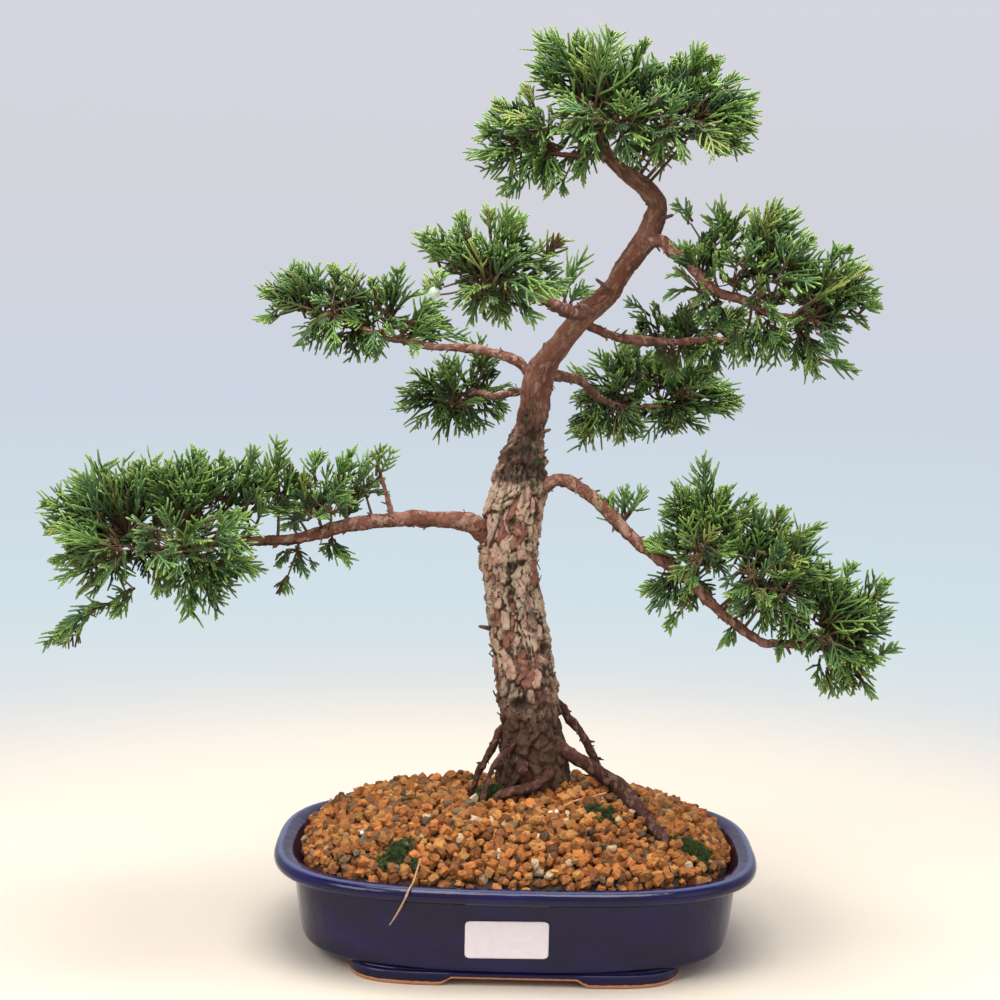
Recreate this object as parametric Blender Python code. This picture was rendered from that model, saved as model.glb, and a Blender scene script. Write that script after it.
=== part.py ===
"""Juniper bonsai in a shallow glazed pot: one closed solid for each piece.

Metres, +Z up. The design is drawn in the pot's own frame, with the middle of the pot's footprint at
the origin and the feet at z = 0. The last step moves the whole object so that its origin is the
middle of the bottom of its bounding box.
"""
import math
import random

import bmesh
import bpy
from mathutils import Vector, noise
from mathutils.bvhtree import BVHTree

# ---------------------------------------------------------------- driving sizes, metres
CLEARANCE = 0.0003          # gap left between neighbouring pieces

RIM_WIDTH = 0.250           # pot, across the lip
RIM_DEPTH = 0.177
POT_HEIGHT = 0.052
SQUARENESS = 3.0            # exponent of the pot's rounded-rectangle outline
LIP_HEIGHT = 0.0075
LIP_WIDTH = 0.0105
LIP_OVERHANG = 0.0105       # lip edge beyond the wall under it
WALL_FOOT_INSET = 0.0115    # lip edge beyond the wall's lower part
BOTTOM_ROUND = 0.0030       # radius of the turn from the wall to the underside
END_TUCK = 0.0035           # how much further in the wall's bottom lies at the pot's two ends
WALL_THICKNESS = 0.0040     # just under the lip; the wall is thicker lower down
INNER_FOOT_INSET = 0.0215   # lip edge beyond the inner wall's lower part
INNER_TUCK = 0.0030         # extra inset where the inner wall meets the floor
FLOOR_THICKNESS = 0.0065
FOOT_HEIGHT = 0.0068
FOOT_INSET = 0.0122
FOOT_TAPER = 0.0010
FOOT_END_TUCK = 0.0273      # how much further in the feet stand at the pot's two ends
FOOT_SQUARENESS = 6.0       # exponent of the feet's outline
FOOT_BAND = 0.0090          # width of the foot band seen from below
RECESS_DEPTH = 0.0040
FRONT_ARCH = 0.068          # open length between the feet, front and back
SIDE_ARCH = 0.044
ARCH_HEIGHT = 0.0036
DRAIN_HOLE = 0.016
DRAIN_SPACING = 0.100

SCREEN_SIZE = 0.026
SCREEN_THICKNESS = 0.0010
SCREEN_CELLS = 3
SCREEN_BAR = 0.0016

GRAVEL_DROP = 0.0050        # gravel edge below the top of the lip
MOUND_RISE = 0.030
SHOULDER_RISE = 0.006       # extra rise where the thickest root leaves the trunk
SHOULDER_PLACE = (0.035, 0.0)
SHOULDER_REACH = 0.030
GRAVEL_DEPTH = 0.010
GRAVEL_BUMP = 0.0008

TREE_STRETCH = 1.0          # multiplies the tree's heights above the lip
TREE_SPREAD = 1.0           # multiplies its reach sideways
WOOD_GIRTH = 1.0            # multiplies the radius of trunk, limbs and roots
FOLIAGE_FULLNESS = 1.0      # multiplies the size of every foliage pad
PAD_GAP = 0.0006            # gap between neighbouring pads

LABEL_WIDTH = 0.041
LABEL_HEIGHT = 0.019
LABEL_CORNER = 0.0016
LABEL_THICKNESS = 0.0004
LABEL_PLACE = (-0.0040, 0.0249)   # x and height of the label's middle on the front wall

BERRY_RADIUS = 0.0026
NEEDLE_RADIUS = 0.00045
NEEDLE_X = -0.052           # where the needle crosses the lip
STEM_RADIUS = 0.0006
STEM_START, STEM_END = (0.215, -0.360), (0.412, -0.187)   # as shares of the bed's half sizes
STEM_LIFT = 0.0025          # its far end stands this much off the gravel
STEM_STEPS = 6

RING_SIDES = 40             # sides of the pot's outline
SEED = 5

# Routes: (x, y, height above the lip, radius). The trunk's first stations are in the soil.
TRUNK = [
    (0.0100, 0.004, 0.000, 0.0160), (0.0095, 0.004, 0.016, 0.0186), (0.0090, 0.004, 0.030, 0.0180),
    (0.0080, 0.004, 0.048, 0.0158), (0.0060, 0.004, 0.066, 0.0150), (0.0030, 0.004, 0.084, 0.0154),
    (0.0000, 0.004, 0.104, 0.0154), (-0.0020, 0.004, 0.121, 0.0134), (-0.0050, 0.004, 0.139, 0.0133),
    (-0.0065, 0.003, 0.157, 0.0136), (-0.0050, 0.001, 0.171, 0.0134), (-0.0020, 0.000, 0.186, 0.0126),
    (-0.0010, 0.000, 0.199, 0.0114), (0.0010, 0.000, 0.211, 0.0086), (0.0040, 0.000, 0.224, 0.0076),
    (0.0055, 0.000, 0.237, 0.0076), (0.0090, 0.000, 0.249, 0.0070), (0.0170, 0.000, 0.260, 0.0058),
    (0.0240, 0.001, 0.270, 0.0056), (0.0310, 0.002, 0.278, 0.0060), (0.0410, 0.002, 0.286, 0.0052),
    (0.0480, 0.002, 0.299, 0.0051), (0.0580, 0.002, 0.313, 0.0058), (0.0620, 0.002, 0.322, 0.0056),
    (0.0635, 0.002, 0.331, 0.0051), (0.0580, 0.001, 0.339, 0.0044), (0.0510, 0.000, 0.344, 0.0038),
    (0.0440, 0.000, 0.349, 0.0033), (0.0380, 0.000, 0.355, 0.0029), (0.0350, 0.000, 0.363, 0.0024),
    (0.0320, 0.000, 0.376, 0.0019), (0.0300, 0.000, 0.390, 0.0014),
]
LIMBS = {
    "limb_lower_left": [
        (-0.006, 0.001, 0.154, 0.0052), (-0.018, -0.003, 0.160, 0.0047), (-0.027, -0.006, 0.168, 0.0046),
        (-0.043, -0.010, 0.170, 0.0042), (-0.063, -0.013, 0.170, 0.0039), (-0.090, -0.019, 0.167, 0.0034),
        (-0.112, -0.025, 0.161, 0.0029), (-0.129, -0.029, 0.160, 0.0024), (-0.154, -0.032, 0.158, 0.0017),
        (-0.181, -0.035, 0.156, 0.0011),
    ],
    "limb_lower_right": [
        (0.002, 0.000, 0.184, 0.0040), (0.011, -0.003, 0.188, 0.0036), (0.018, -0.005, 0.191, 0.0033),
        (0.026, -0.008, 0.189, 0.0033), (0.039, -0.013, 0.180, 0.0032), (0.049, -0.016, 0.170, 0.0031),
        (0.059, -0.019, 0.161, 0.0030), (0.080, -0.024, 0.147, 0.0028), (0.100, -0.029, 0.129, 0.0025),
        (0.119, -0.035, 0.116, 0.0022), (0.131, -0.037, 0.115, 0.0020), (0.149, -0.040, 0.114, 0.0014),
        (0.165, -0.042, 0.110, 0.0010),
    ],
    "limb_upper_left": [
        (0.005, 0.000, 0.241, 0.0028), (-0.003, 0.003, 0.249, 0.0026), (-0.012, 0.007, 0.253, 0.0024),
        (-0.029, 0.013, 0.256, 0.0022), (-0.048, 0.020, 0.256, 0.0019), (-0.059, 0.023, 0.258, 0.0018),
        (-0.077, 0.027, 0.261, 0.0015), (-0.098, 0.030, 0.269, 0.0010),
    ],
    "limb_left_back": [
        (0.004, 0.000, 0.232, 0.0022), (-0.001, 0.015, 0.234, 0.0020), (-0.008, 0.030, 0.232, 0.0019),
        (-0.016, 0.045, 0.229, 0.0017), (-0.024, 0.060, 0.229, 0.0015), (-0.038, 0.075, 0.227, 0.0011),
    ],
    "limb_front": [
        (0.030, 0.002, 0.277, 0.0036), (0.021, -0.020, 0.277, 0.0033), (0.007, -0.050, 0.284, 0.0026),
        (-0.007, -0.075, 0.291, 0.0018), (-0.018, -0.092, 0.297, 0.0011),
    ],
    "limb_mid_right": [
        (0.029, 0.002, 0.271, 0.0026), (0.034, 0.008, 0.268, 0.0024), (0.045, 0.012, 0.264, 0.0023),
        (0.056, 0.017, 0.262, 0.0023), (0.069, 0.022, 0.261, 0.0022), (0.081, 0.028, 0.261, 0.0020),
        (0.097, 0.034, 0.262, 0.0017), (0.112, 0.040, 0.262, 0.0011),
    ],
    "limb_right_back": [
        (0.009, 0.000, 0.244, 0.0027), (0.021, 0.016, 0.242, 0.0024), (0.029, 0.032, 0.239, 0.0022),
        (0.037, 0.048, 0.231, 0.0020), (0.046, 0.063, 0.225, 0.0017), (0.059, 0.079, 0.222, 0.0014),
        (0.082, 0.093, 0.222, 0.0010),
    ],
    "limb_upper_right": [
        (0.058, 0.002, 0.312, 0.0030), (0.066, -0.004, 0.313, 0.0028), (0.071, -0.008, 0.308, 0.0028),
        (0.079, -0.011, 0.303, 0.0027), (0.086, -0.014, 0.295, 0.0026), (0.095, -0.016, 0.288, 0.0024),
        (0.106, -0.019, 0.285, 0.0022), (0.121, -0.025, 0.278, 0.0018), (0.141, -0.030, 0.277, 0.0011),
    ],
    "limb_apex_left": [
        (0.038, 0.000, 0.354, 0.0016), (0.030, -0.006, 0.354, 0.0014), (0.011, -0.010, 0.355, 0.0012),
        (-0.006, -0.010, 0.360, 0.0009),
    ],
}
ROOTS = {
    "root_right_arch": [
        (0.014, 0.008, 0.074, 0.0022), (0.021, 0.009, 0.071, 0.0020), (0.026, 0.008, 0.064, 0.0020),
        (0.033, 0.007, 0.056, 0.0020), (0.038, 0.006, 0.047, 0.0019), (0.043, 0.005, 0.036, 0.0018),
        (0.047, 0.004, 0.018, 0.0014),
    ],
    "root_right_long": [
        (0.014, -0.002, 0.058, 0.0034), (0.021, -0.005, 0.052, 0.0033), (0.032, -0.007, 0.045, 0.0033),
        (0.041, -0.006, 0.039, 0.0034), (0.049, -0.005, 0.034, 0.0038), (0.056, -0.006, 0.027, 0.0042),
        (0.061, -0.014, 0.023, 0.0042), (0.065, -0.021, 0.020, 0.0040), (0.069, -0.028, 0.017, 0.0037),
        (0.075, -0.038, 0.011, 0.0032), (0.079, -0.044, 0.001, 0.0024),
    ],
    "root_left_front": [
        (0.002, -0.006, 0.055, 0.0015), (-0.003, -0.010, 0.052, 0.0014), (-0.010, -0.013, 0.046, 0.0014),
        (-0.014, -0.015, 0.039, 0.0014), (-0.017, -0.017, 0.028, 0.0014), (-0.019, -0.018, 0.014, 0.0012),
    ],
    "root_left_dark": [
        (-0.003, 0.002, 0.062, 0.0018), (-0.009, 0.001, 0.058, 0.0018), (-0.013, 0.000, 0.049, 0.0018),
        (-0.017, 0.000, 0.041, 0.0017), (-0.021, 0.000, 0.033, 0.0016), (-0.025, 0.000, 0.018, 0.0013),
    ],
    "root_front_peg": [
        (0.001, -0.006, 0.048, 0.0029), (0.002, -0.014, 0.044, 0.0028), (0.003, -0.019, 0.041, 0.0024),
    ],
    "root_front_low": [
        (0.019, -0.010, 0.040, 0.0024), (0.015, -0.017, 0.038, 0.0025), (0.007, -0.019, 0.033, 0.0025),
        (-0.004, -0.019, 0.030, 0.0024), (-0.011, -0.017, 0.026, 0.0022), (-0.016, -0.014, 0.015, 0.0018),
    ],
}
LIMB_TWIG = [
    (-0.067, -0.0145, 0.171, 0.0012), (-0.069, -0.015, 0.180, 0.0011), (-0.072, -0.015, 0.190, 0.0009),
    (-0.075, -0.015, 0.200, 0.0007),
]

# Foliage pads: middle (x, y, height above the lip), half sizes, and the wood that runs into the pad.
PADS = {
    "foliage_apex_left": ((-0.001, -0.004, 0.357), (0.026, 0.040, 0.027), ["limb_apex_left"]),
    "foliage_apex_crown": ((0.036, 0.000, 0.383), (0.039, 0.046, 0.033), ["limb_apex_left", "trunk"]),
    "foliage_apex_right": ((0.089, 0.000, 0.381), (0.028, 0.040, 0.027), []),
    "foliage_front_tuft": ((-0.020, -0.092, 0.298), (0.034, 0.036, 0.029), ["limb_front"]),
    "foliage_upper_left_tip": ((-0.111, 0.030, 0.274), (0.031, 0.032, 0.021), ["limb_upper_left"]),
    "foliage_upper_left_inner": ((-0.071, 0.026, 0.267), (0.028, 0.034, 0.022), ["limb_upper_left"]),
    "foliage_left_back": ((-0.036, 0.075, 0.227), (0.034, 0.031, 0.025), ["limb_left_back"]),
    "foliage_lower_left_tip": ((-0.209, -0.036, 0.157), (0.031, 0.044, 0.037), ["limb_lower_left"]),
    "foliage_lower_left_mid": ((-0.158, -0.030, 0.166), (0.033, 0.052, 0.040), ["limb_lower_left"]),
    "foliage_lower_left_inner": ((-0.100, -0.022, 0.173), (0.035, 0.044, 0.030),
                                 ["limb_lower_left", "twig_bare"]),
    "foliage_lower_right_inner": ((0.085, -0.026, 0.154), (0.029, 0.042, 0.036), ["limb_lower_right"]),
    "foliage_lower_right_mid": ((0.126, -0.036, 0.142), (0.027, 0.044, 0.037), ["limb_lower_right"]),
    "foliage_lower_right_tip": ((0.163, -0.044, 0.121), (0.026, 0.038, 0.032), ["limb_lower_right"]),
    "foliage_upper_right_inner": ((0.091, -0.012, 0.302), (0.025, 0.036, 0.029),
                                  ["limb_upper_right", "trunk"]),
    "foliage_upper_right_mid": ((0.121, -0.022, 0.298), (0.025, 0.042, 0.033), ["limb_upper_right"]),
    "foliage_upper_right_tip": ((0.151, -0.028, 0.280), (0.023, 0.036, 0.032), ["limb_upper_right"]),
    "foliage_mid_right": ((0.086, 0.044, 0.266), (0.036, 0.028, 0.020), ["limb_mid_right"]),
    "foliage_right_back_inner": ((0.048, 0.077, 0.222), (0.027, 0.030, 0.025), ["limb_right_back"]),
    "foliage_right_back_tip": ((0.092, 0.098, 0.224), (0.032, 0.032, 0.026), ["limb_right_back"]),
}
# Pads that meet: each pair is divided by the plane half way between them.
PAD_NEIGHBOURS = [
    ("foliage_apex_left", "foliage_apex_crown"), ("foliage_apex_crown", "foliage_apex_right"),
    ("foliage_upper_left_tip", "foliage_upper_left_inner"),
    ("foliage_lower_left_tip", "foliage_lower_left_mid"),
    ("foliage_lower_left_mid", "foliage_lower_left_inner"),
    ("foliage_lower_right_inner", "foliage_lower_right_mid"),
    ("foliage_lower_right_mid", "foliage_lower_right_tip"),
    ("foliage_upper_right_inner", "foliage_upper_right_mid"),
    ("foliage_upper_right_mid", "foliage_upper_right_tip"),
    ("foliage_upper_right_inner", "foliage_mid_right"), ("foliage_upper_right_mid", "foliage_mid_right"),
    ("foliage_right_back_inner", "foliage_right_back_tip"),
    ("foliage_right_back_tip", "foliage_mid_right"), ("foliage_right_back_inner", "foliage_mid_right"),
    ("foliage_left_back", "foliage_upper_left_inner"),
    ("foliage_upper_right_inner", "foliage_apex_crown"), ("foliage_upper_right_inner", "foliage_apex_right"),
    ("foliage_upper_right_mid", "foliage_apex_right"),
]
# Moss patches: middle, as shares of the gravel bed's half width and half depth.
MOSS = {
    "moss_right": (0.377, -0.387),
    "moss_front_right": (0.816, -0.520),
    "moss_front_left": (-0.520, -0.800),
}
MOSS_REACH = 0.009          # half width of a patch
MOSS_HEIGHT = 0.0035

# Finishes: base colour (linear), roughness.
GLAZE = ((0.020, 0.018, 0.085), 0.14)
SOIL_DARK = ((0.030, 0.020, 0.013), 0.95)
GRAVEL_ORANGE = ((0.410, 0.190, 0.060), 0.90)
BARK_GREY = ((0.290, 0.190, 0.135), 0.85)
BARK_RED = ((0.220, 0.095, 0.060), 0.70)
ROOT_BARK = ((0.120, 0.050, 0.035), 0.75)
LEAF_GREEN = ((0.045, 0.130, 0.030), 0.60)
MOSS_GREEN = ((0.040, 0.075, 0.012), 0.95)
LABEL_WHITE = ((0.840, 0.820, 0.820), 0.45)
SCREEN_BLACK = ((0.020, 0.020, 0.022), 0.60)
BERRY_PALE = ((0.420, 0.480, 0.400), 0.55)
STEM_COPPER = ((0.480, 0.210, 0.110), 0.60)

nodes = {}          # name -> object, in the order they are made


# ---------------------------------------------------------------- helpers
def clear_scene():
    for old in list(bpy.data.objects):
        bpy.data.objects.remove(old, do_unlink=True)


def make_object(name, points, faces, finish=None, smooth=True):
    """Mesh object from points and faces, with faces turned outward; a node if it has a finish."""
    mesh = bpy.data.meshes.new(name)
    mesh.from_pydata([tuple(p) for p in points], [], faces)
    shape = bmesh.new()
    shape.from_mesh(mesh)
    bmesh.ops.recalc_face_normals(shape, faces=shape.faces)
    shape.to_mesh(mesh)
    shape.free()
    if smooth:
        mesh.shade_smooth()
        mesh.set_sharp_from_angle(angle=math.radians(40))
    thing = bpy.data.objects.new(name, mesh)
    bpy.context.collection.objects.link(thing)
    if finish:
        colour, roughness = finish
        surface = bpy.data.materials.new(name + "_finish")
        surface.use_nodes = True
        shader = surface.node_tree.nodes["Principled BSDF"]
        shader.inputs["Base Color"].default_value = (*colour, 1.0)
        shader.inputs["Roughness"].default_value = roughness
        shader.inputs["Metallic"].default_value = 0.0
        mesh.materials.append(surface)
        nodes[name] = thing
    else:
        thing.hide_render = True
        thing.display_type = "WIRE"
    return thing


def cut(target, cutter):
    """Take the cutter's shape out of the target."""
    step = target.modifiers.new("cut_" + cutter.name, "BOOLEAN")
    step.operation = "DIFFERENCE"
    step.solver = "EXACT"
    step.object = cutter


def loft(rings, bottom_tip, top_tip, leaning=0):
    """Closed skin through rings of equal length, with a point closing each end.

    Each four-sided patch is split in two the same way, and the first `leaning` bands the other way,
    so that a surface drawn inwards and one drawn outwards over it have the same creases.
    """
    sides = len(rings[0])
    points = [p for ring in rings for p in ring] + [bottom_tip, top_tip]
    faces = []
    for level in range(len(rings) - 1):
        for k in range(sides):
            here, right = level * sides + k, level * sides + (k + 1) % sides
            above, above_right = here + sides, right + sides
            if level < leaning:
                faces += [(here, right, above), (right, above_right, above)]
            else:
                faces += [(here, right, above_right), (here, above_right, above)]
    bottom, top, last = len(points) - 2, len(points) - 1, (len(rings) - 1) * sides
    for k in range(sides):
        faces.append((bottom, (k + 1) % sides, k))
        faces.append((top, last + k, last + (k + 1) % sides))
    return points, faces


# ---------------------------------------------------------------- pot
def outline(inset, z, sides=RING_SIDES, scale=1.0, end_tuck=0.0, squareness=SQUARENESS):
    """Rounded-rectangle ring of the pot, moved in from the lip's edge by inset, and its ends by end_tuck."""
    half_width = RIM_WIDTH / 2 - inset - end_tuck
    half_depth = RIM_DEPTH / 2 - inset
    ring = []
    for k in range(sides):
        turn = 2 * math.pi * k / sides
        c, s = math.cos(turn), math.sin(turn)
        x = half_width * math.copysign(abs(c) ** (2 / squareness), c)
        y = half_depth * math.copysign(abs(s) ** (2 / squareness), s)
        ring.append((x * scale, y * scale, z))
    return ring


def wall_inset(z):
    """How far the outer wall lies inside the lip's edge at height z."""
    t = min(1.0, max(0.0, (z - FOOT_HEIGHT) / (POT_HEIGHT - LIP_HEIGHT - FOOT_HEIGHT)))
    flare = WALL_FOOT_INSET - LIP_OVERHANG
    return WALL_FOOT_INSET - flare * t


def end_tuck(z):
    """How much further in the outer wall lies at the pot's two ends, at height z."""
    t = min(1.0, max(0.0, (z - FOOT_HEIGHT) / (POT_HEIGHT - LIP_HEIGHT - FOOT_HEIGHT)))
    return END_TUCK * (1 - t) ** 2


def inner_inset(z):
    """How far the inner wall lies inside the lip's edge at height z."""
    throat = POT_HEIGHT - LIP_HEIGHT
    if z <= throat:
        t = min(1.0, max(0.0, (z - FOOT_HEIGHT) / (throat - FOOT_HEIGHT)))
        narrowing = INNER_FOOT_INSET - LIP_OVERHANG - WALL_THICKNESS
        return INNER_FOOT_INSET - narrowing * t ** 2.2 + INNER_TUCK * (1 - t) ** 8
    t = (z - throat) / LIP_HEIGHT
    return (wall_inset(throat) + WALL_THICKNESS) * (1 - t) + LIP_WIDTH * t


def front_y(x, inset):
    """Where the front of the outline, moved in by inset, lies at x."""
    share = 1 - abs(x / (RIM_WIDTH / 2 - inset)) ** SQUARENESS
    return -(RIM_DEPTH / 2 - inset) * share ** (1 / SQUARENESS)


FLOOR_TOP = RECESS_DEPTH + FLOOR_THICKNESS


def make_pot():
    throat = POT_HEIGHT - LIP_HEIGHT
    feet = [
        outline(inset, z, end_tuck=FOOT_END_TUCK, squareness=FOOT_SQUARENESS)
        for inset, z in ((FOOT_INSET + FOOT_TAPER, 0.0), (FOOT_INSET, FOOT_HEIGHT * 0.85),
                         (FOOT_INSET + FOOT_TAPER, FOOT_HEIGHT))
    ]
    profile = []
    for step in range(4):
        turn = math.pi / 2 * step / 3
        z = FOOT_HEIGHT + BOTTOM_ROUND * (1 - math.cos(turn))
        profile.append((wall_inset(z) + BOTTOM_ROUND * (1 - math.sin(turn)), z + 0.0002))
    for step in (0.18, 0.40, 0.62, 0.82, 1.0):
        z = FOOT_HEIGHT + (throat - FOOT_HEIGHT) * step
        profile.append((wall_inset(z), z))
    lip = LIP_HEIGHT
    profile += [
        (LIP_OVERHANG * 0.40, throat + 0.05 * lip), (LIP_OVERHANG * 0.08, throat + 0.28 * lip),
        (0.0, throat + 0.58 * lip), (LIP_OVERHANG * 0.12, throat + 0.86 * lip),
        (LIP_OVERHANG * 0.38, throat + lip), (LIP_WIDTH * 0.74, throat + 0.95 * lip),
        (LIP_WIDTH, throat + 0.76 * lip),
    ]
    floor_top = FLOOR_TOP
    for step in (0.90, 0.50, 0.15):
        z = floor_top + (throat - floor_top) * step
        profile.append((inner_inset(z), z))
    profile.append((inner_inset(floor_top) + 0.003, floor_top))
    outer = profile.index((0.0, throat + 0.58 * lip))
    rings = feet + [outline(inset, z, end_tuck=end_tuck(z) if level < outer else 0.0)
                    for level, (inset, z) in enumerate(profile)]
    points, faces = loft(rings, (0, 0, 0), (0, 0, floor_top))
    pot = make_object("pot", points, faces, GLAZE)

    below = -0.010
    recess_inset = FOOT_INSET + FOOT_TAPER + FOOT_BAND
    recess = loft([outline(recess_inset, z, end_tuck=FOOT_END_TUCK, squareness=FOOT_SQUARENESS)
                   for z in (below, RECESS_DEPTH)],
                  (0, 0, below), (0, 0, RECESS_DEPTH))
    cut(pot, make_object("cut_recess", *recess))
    arch_front = box_points((0, 0, ARCH_HEIGHT / 2 + below / 2),
                            (FRONT_ARCH, RIM_DEPTH * 1.2, ARCH_HEIGHT - below))
    cut(pot, make_object("cut_arch_front", *arch_front))
    arch_side = box_points((0, 0, ARCH_HEIGHT / 2 + below / 2),
                           (RIM_WIDTH * 1.2, SIDE_ARCH, ARCH_HEIGHT - below))
    cut(pot, make_object("cut_arch_side", *arch_side))
    for side, sign in (("left", -1), ("right", 1)):
        centre = sign * DRAIN_SPACING / 2
        turns = [2 * math.pi * (k + 0.37) / 20 for k in range(20)]
        disc = [[(centre + DRAIN_HOLE / 2 * math.cos(turn), DRAIN_HOLE / 2 * math.sin(turn), z)
                 for turn in turns] for z in (below, floor_top - below)]
        hole = loft(disc, (centre, 0, below), (centre, 0, floor_top - below))
        cut(pot, make_object("cut_drain_" + side, *hole))


def box_points(middle, size):
    """Corners and faces of a box."""
    corners = [tuple(middle[axis] + size[axis] / 2 * sign[axis] for axis in range(3))
               for sign in ((-1, -1, -1), (1, -1, -1), (1, 1, -1), (-1, 1, -1),
                            (-1, -1, 1), (1, -1, 1), (1, 1, 1), (-1, 1, 1))]
    faces = [(0, 3, 2, 1), (4, 5, 6, 7), (0, 1, 5, 4), (1, 2, 6, 5), (2, 3, 7, 6), (3, 0, 4, 7)]
    return corners, faces


def make_drain_screens():
    """Square plastic mesh over each drain hole: crossed bars with open cells between them."""
    bottom = FLOOR_TOP + CLEARANCE
    top = bottom + SCREEN_THICKNESS
    pitch = (SCREEN_SIZE - SCREEN_BAR) / SCREEN_CELLS
    lines = [-SCREEN_SIZE / 2]
    for cell in range(SCREEN_CELLS):
        lines += [-SCREEN_SIZE / 2 + SCREEN_BAR + cell * pitch, -SCREEN_SIZE / 2 + (cell + 1) * pitch]
    lines.append(SCREEN_SIZE / 2)
    count = len(lines)

    def solid(i, j):
        inside = 0 <= i < count - 1 and 0 <= j < count - 1
        return inside and not (i % 2 == 1 and j % 2 == 1)

    for side, sign in (("left", -1), ("right", 1)):
        middle = sign * DRAIN_SPACING / 2
        points = [(middle + x, y, z) for z in (bottom, top) for y in lines for x in lines]
        layer = count * count
        faces = []
        for j in range(count - 1):
            for i in range(count - 1):
                if not solid(i, j):
                    continue
                a = j * count + i
                b, c, d = a + 1, a + count + 1, a + count
                faces += [(a, d, c, b), (a + layer, b + layer, c + layer, d + layer)]
                for edge, neighbour in (((a, b), (i, j - 1)), ((b, c), (i + 1, j)),
                                        ((c, d), (i, j + 1)), ((d, a), (i - 1, j))):
                    if not solid(*neighbour):
                        faces.append((edge[0], edge[1], edge[1] + layer, edge[0] + layer))
        make_object("drain_screen_" + side, points, faces, SCREEN_BLACK, smooth=False)


# ---------------------------------------------------------------- soil and gravel
GRAVEL_EDGE = POT_HEIGHT - GRAVEL_DROP
BED_INSET = inner_inset(GRAVEL_EDGE) + CLEARANCE                       # gravel's top edge
BASE_INSET = inner_inset(GRAVEL_EDGE - GRAVEL_DEPTH) + 1.5 * CLEARANCE  # gravel's lower edge


def bed_place(share_x, share_y):
    """Place on the gravel bed, given as shares of its half width and half depth."""
    return share_x * (RIM_WIDTH / 2 - BED_INSET), share_y * (RIM_DEPTH / 2 - BED_INSET)


def mound_height(x, y):
    """Height of the gravel's smooth top: a plump dome on the pot's outline, with one shoulder."""
    reach = (abs(x / (RIM_WIDTH / 2 - BED_INSET)) ** SQUARENESS
             + abs(y / (RIM_DEPTH / 2 - BED_INSET)) ** SQUARENESS) ** (1 / SQUARENESS)
    crown = max(0.0, 1 - reach ** 2) ** 0.6
    away = ((x - SHOULDER_PLACE[0]) ** 2 + (y - SHOULDER_PLACE[1]) ** 2) / SHOULDER_REACH ** 2
    return GRAVEL_EDGE + MOUND_RISE * crown + SHOULDER_RISE * math.exp(-away) * crown


MOUND_RINGS = (0.96, 0.86, 0.72, 0.56, 0.38, 0.18)


def mound_surface(inset, drop, bump=0.0):
    """Rings and middle point of the mound's surface, lowered by drop, roughened by bump."""
    rng = random.Random(SEED)
    rings = []
    for scale in MOUND_RINGS:
        ring = []
        for x, y, _ in outline(inset, 0, scale=scale):
            ring.append((x, y, mound_height(x, y) - drop + rng.uniform(-bump, bump)))
        rings.append(ring)
    return rings, (0, 0, mound_height(0, 0) - drop)


def make_soil():
    """Soil from the pot's floor up to the underside of the gravel."""
    bottom = FLOOR_TOP + CLEARANCE
    shoulder = GRAVEL_EDGE - GRAVEL_DEPTH - CLEARANCE
    rings = [outline(inner_inset(bottom) + 0.003 + CLEARANCE, bottom)]
    for step in (0.25, 0.6):
        z = bottom + (shoulder - bottom) * step
        rings.append(outline(inner_inset(z) + 1.5 * CLEARANCE, z))
    rings.append(outline(BASE_INSET, shoulder))
    top_rings, top = mound_surface(BASE_INSET, GRAVEL_DEPTH + CLEARANCE)
    points, faces = loft(rings + top_rings, (0, 0, bottom), top)
    soil = make_object("soil", points, faces, SOIL_DARK)
    for side, sign in (("left", -1), ("right", 1)):
        room = SCREEN_SIZE + 2 * CLEARANCE
        tall = 2 * (SCREEN_THICKNESS + 2 * CLEARANCE)
        middle = (sign * DRAIN_SPACING / 2, 0, FLOOR_TOP)
        cut(soil, make_object("cut_screen_" + side, *box_points(middle, (room, room, tall))))
    return soil


def make_gravel():
    """Gravel layer on the soil, as one rough-topped bed."""
    lower_rings, lower = mound_surface(BASE_INSET, GRAVEL_DEPTH)
    upper_rings, upper = mound_surface(BED_INSET, 0.0, GRAVEL_BUMP)
    low_edge = outline(BASE_INSET, GRAVEL_EDGE - GRAVEL_DEPTH)
    high_edge = outline(BED_INSET, GRAVEL_EDGE)
    rings = list(reversed(lower_rings)) + [low_edge, high_edge] + upper_rings
    points, faces = loft(rings, lower, upper, leaning=len(lower_rings))
    return make_object("gravel_bed", points, faces, GRAVEL_ORANGE, smooth=False)


# ---------------------------------------------------------------- wood
def tree_place(x, y, rise):
    """A point of the tree's drawing, stretched, spread and stood on the pot's height."""
    return Vector((x * TREE_SPREAD, y * TREE_SPREAD, POT_HEIGHT + rise * TREE_STRETCH))


def root_place(x, y, rise):
    """Roots keep their own size, because they lie on the gravel."""
    return Vector((x, y, POT_HEIGHT + rise))


def stations(route, spacing, place=tree_place):
    """Points and radii along a Catmull-Rom curve through the route's own points."""
    centres = [place(x, y, rise) for x, y, rise, _ in route]
    radii = [radius * WOOD_GIRTH for *_, radius in route]
    found = []
    for k in range(len(centres) - 1):
        before = centres[max(k - 1, 0)]
        after = centres[min(k + 2, len(centres) - 1)]
        here, there = centres[k], centres[k + 1]
        steps = max(1, round((there - here).length / spacing))
        for step in range(steps):
            t = step / steps
            point = 0.5 * (2 * here + (there - before) * t
                           + (2 * before - 5 * here + 4 * there - after) * t ** 2
                           + (3 * here - before - 3 * there + after) * t ** 3)
            found.append((point, radii[k] * (1 - t) + radii[k + 1] * t))
    found.append((centres[-1], radii[-1]))
    return found


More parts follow.
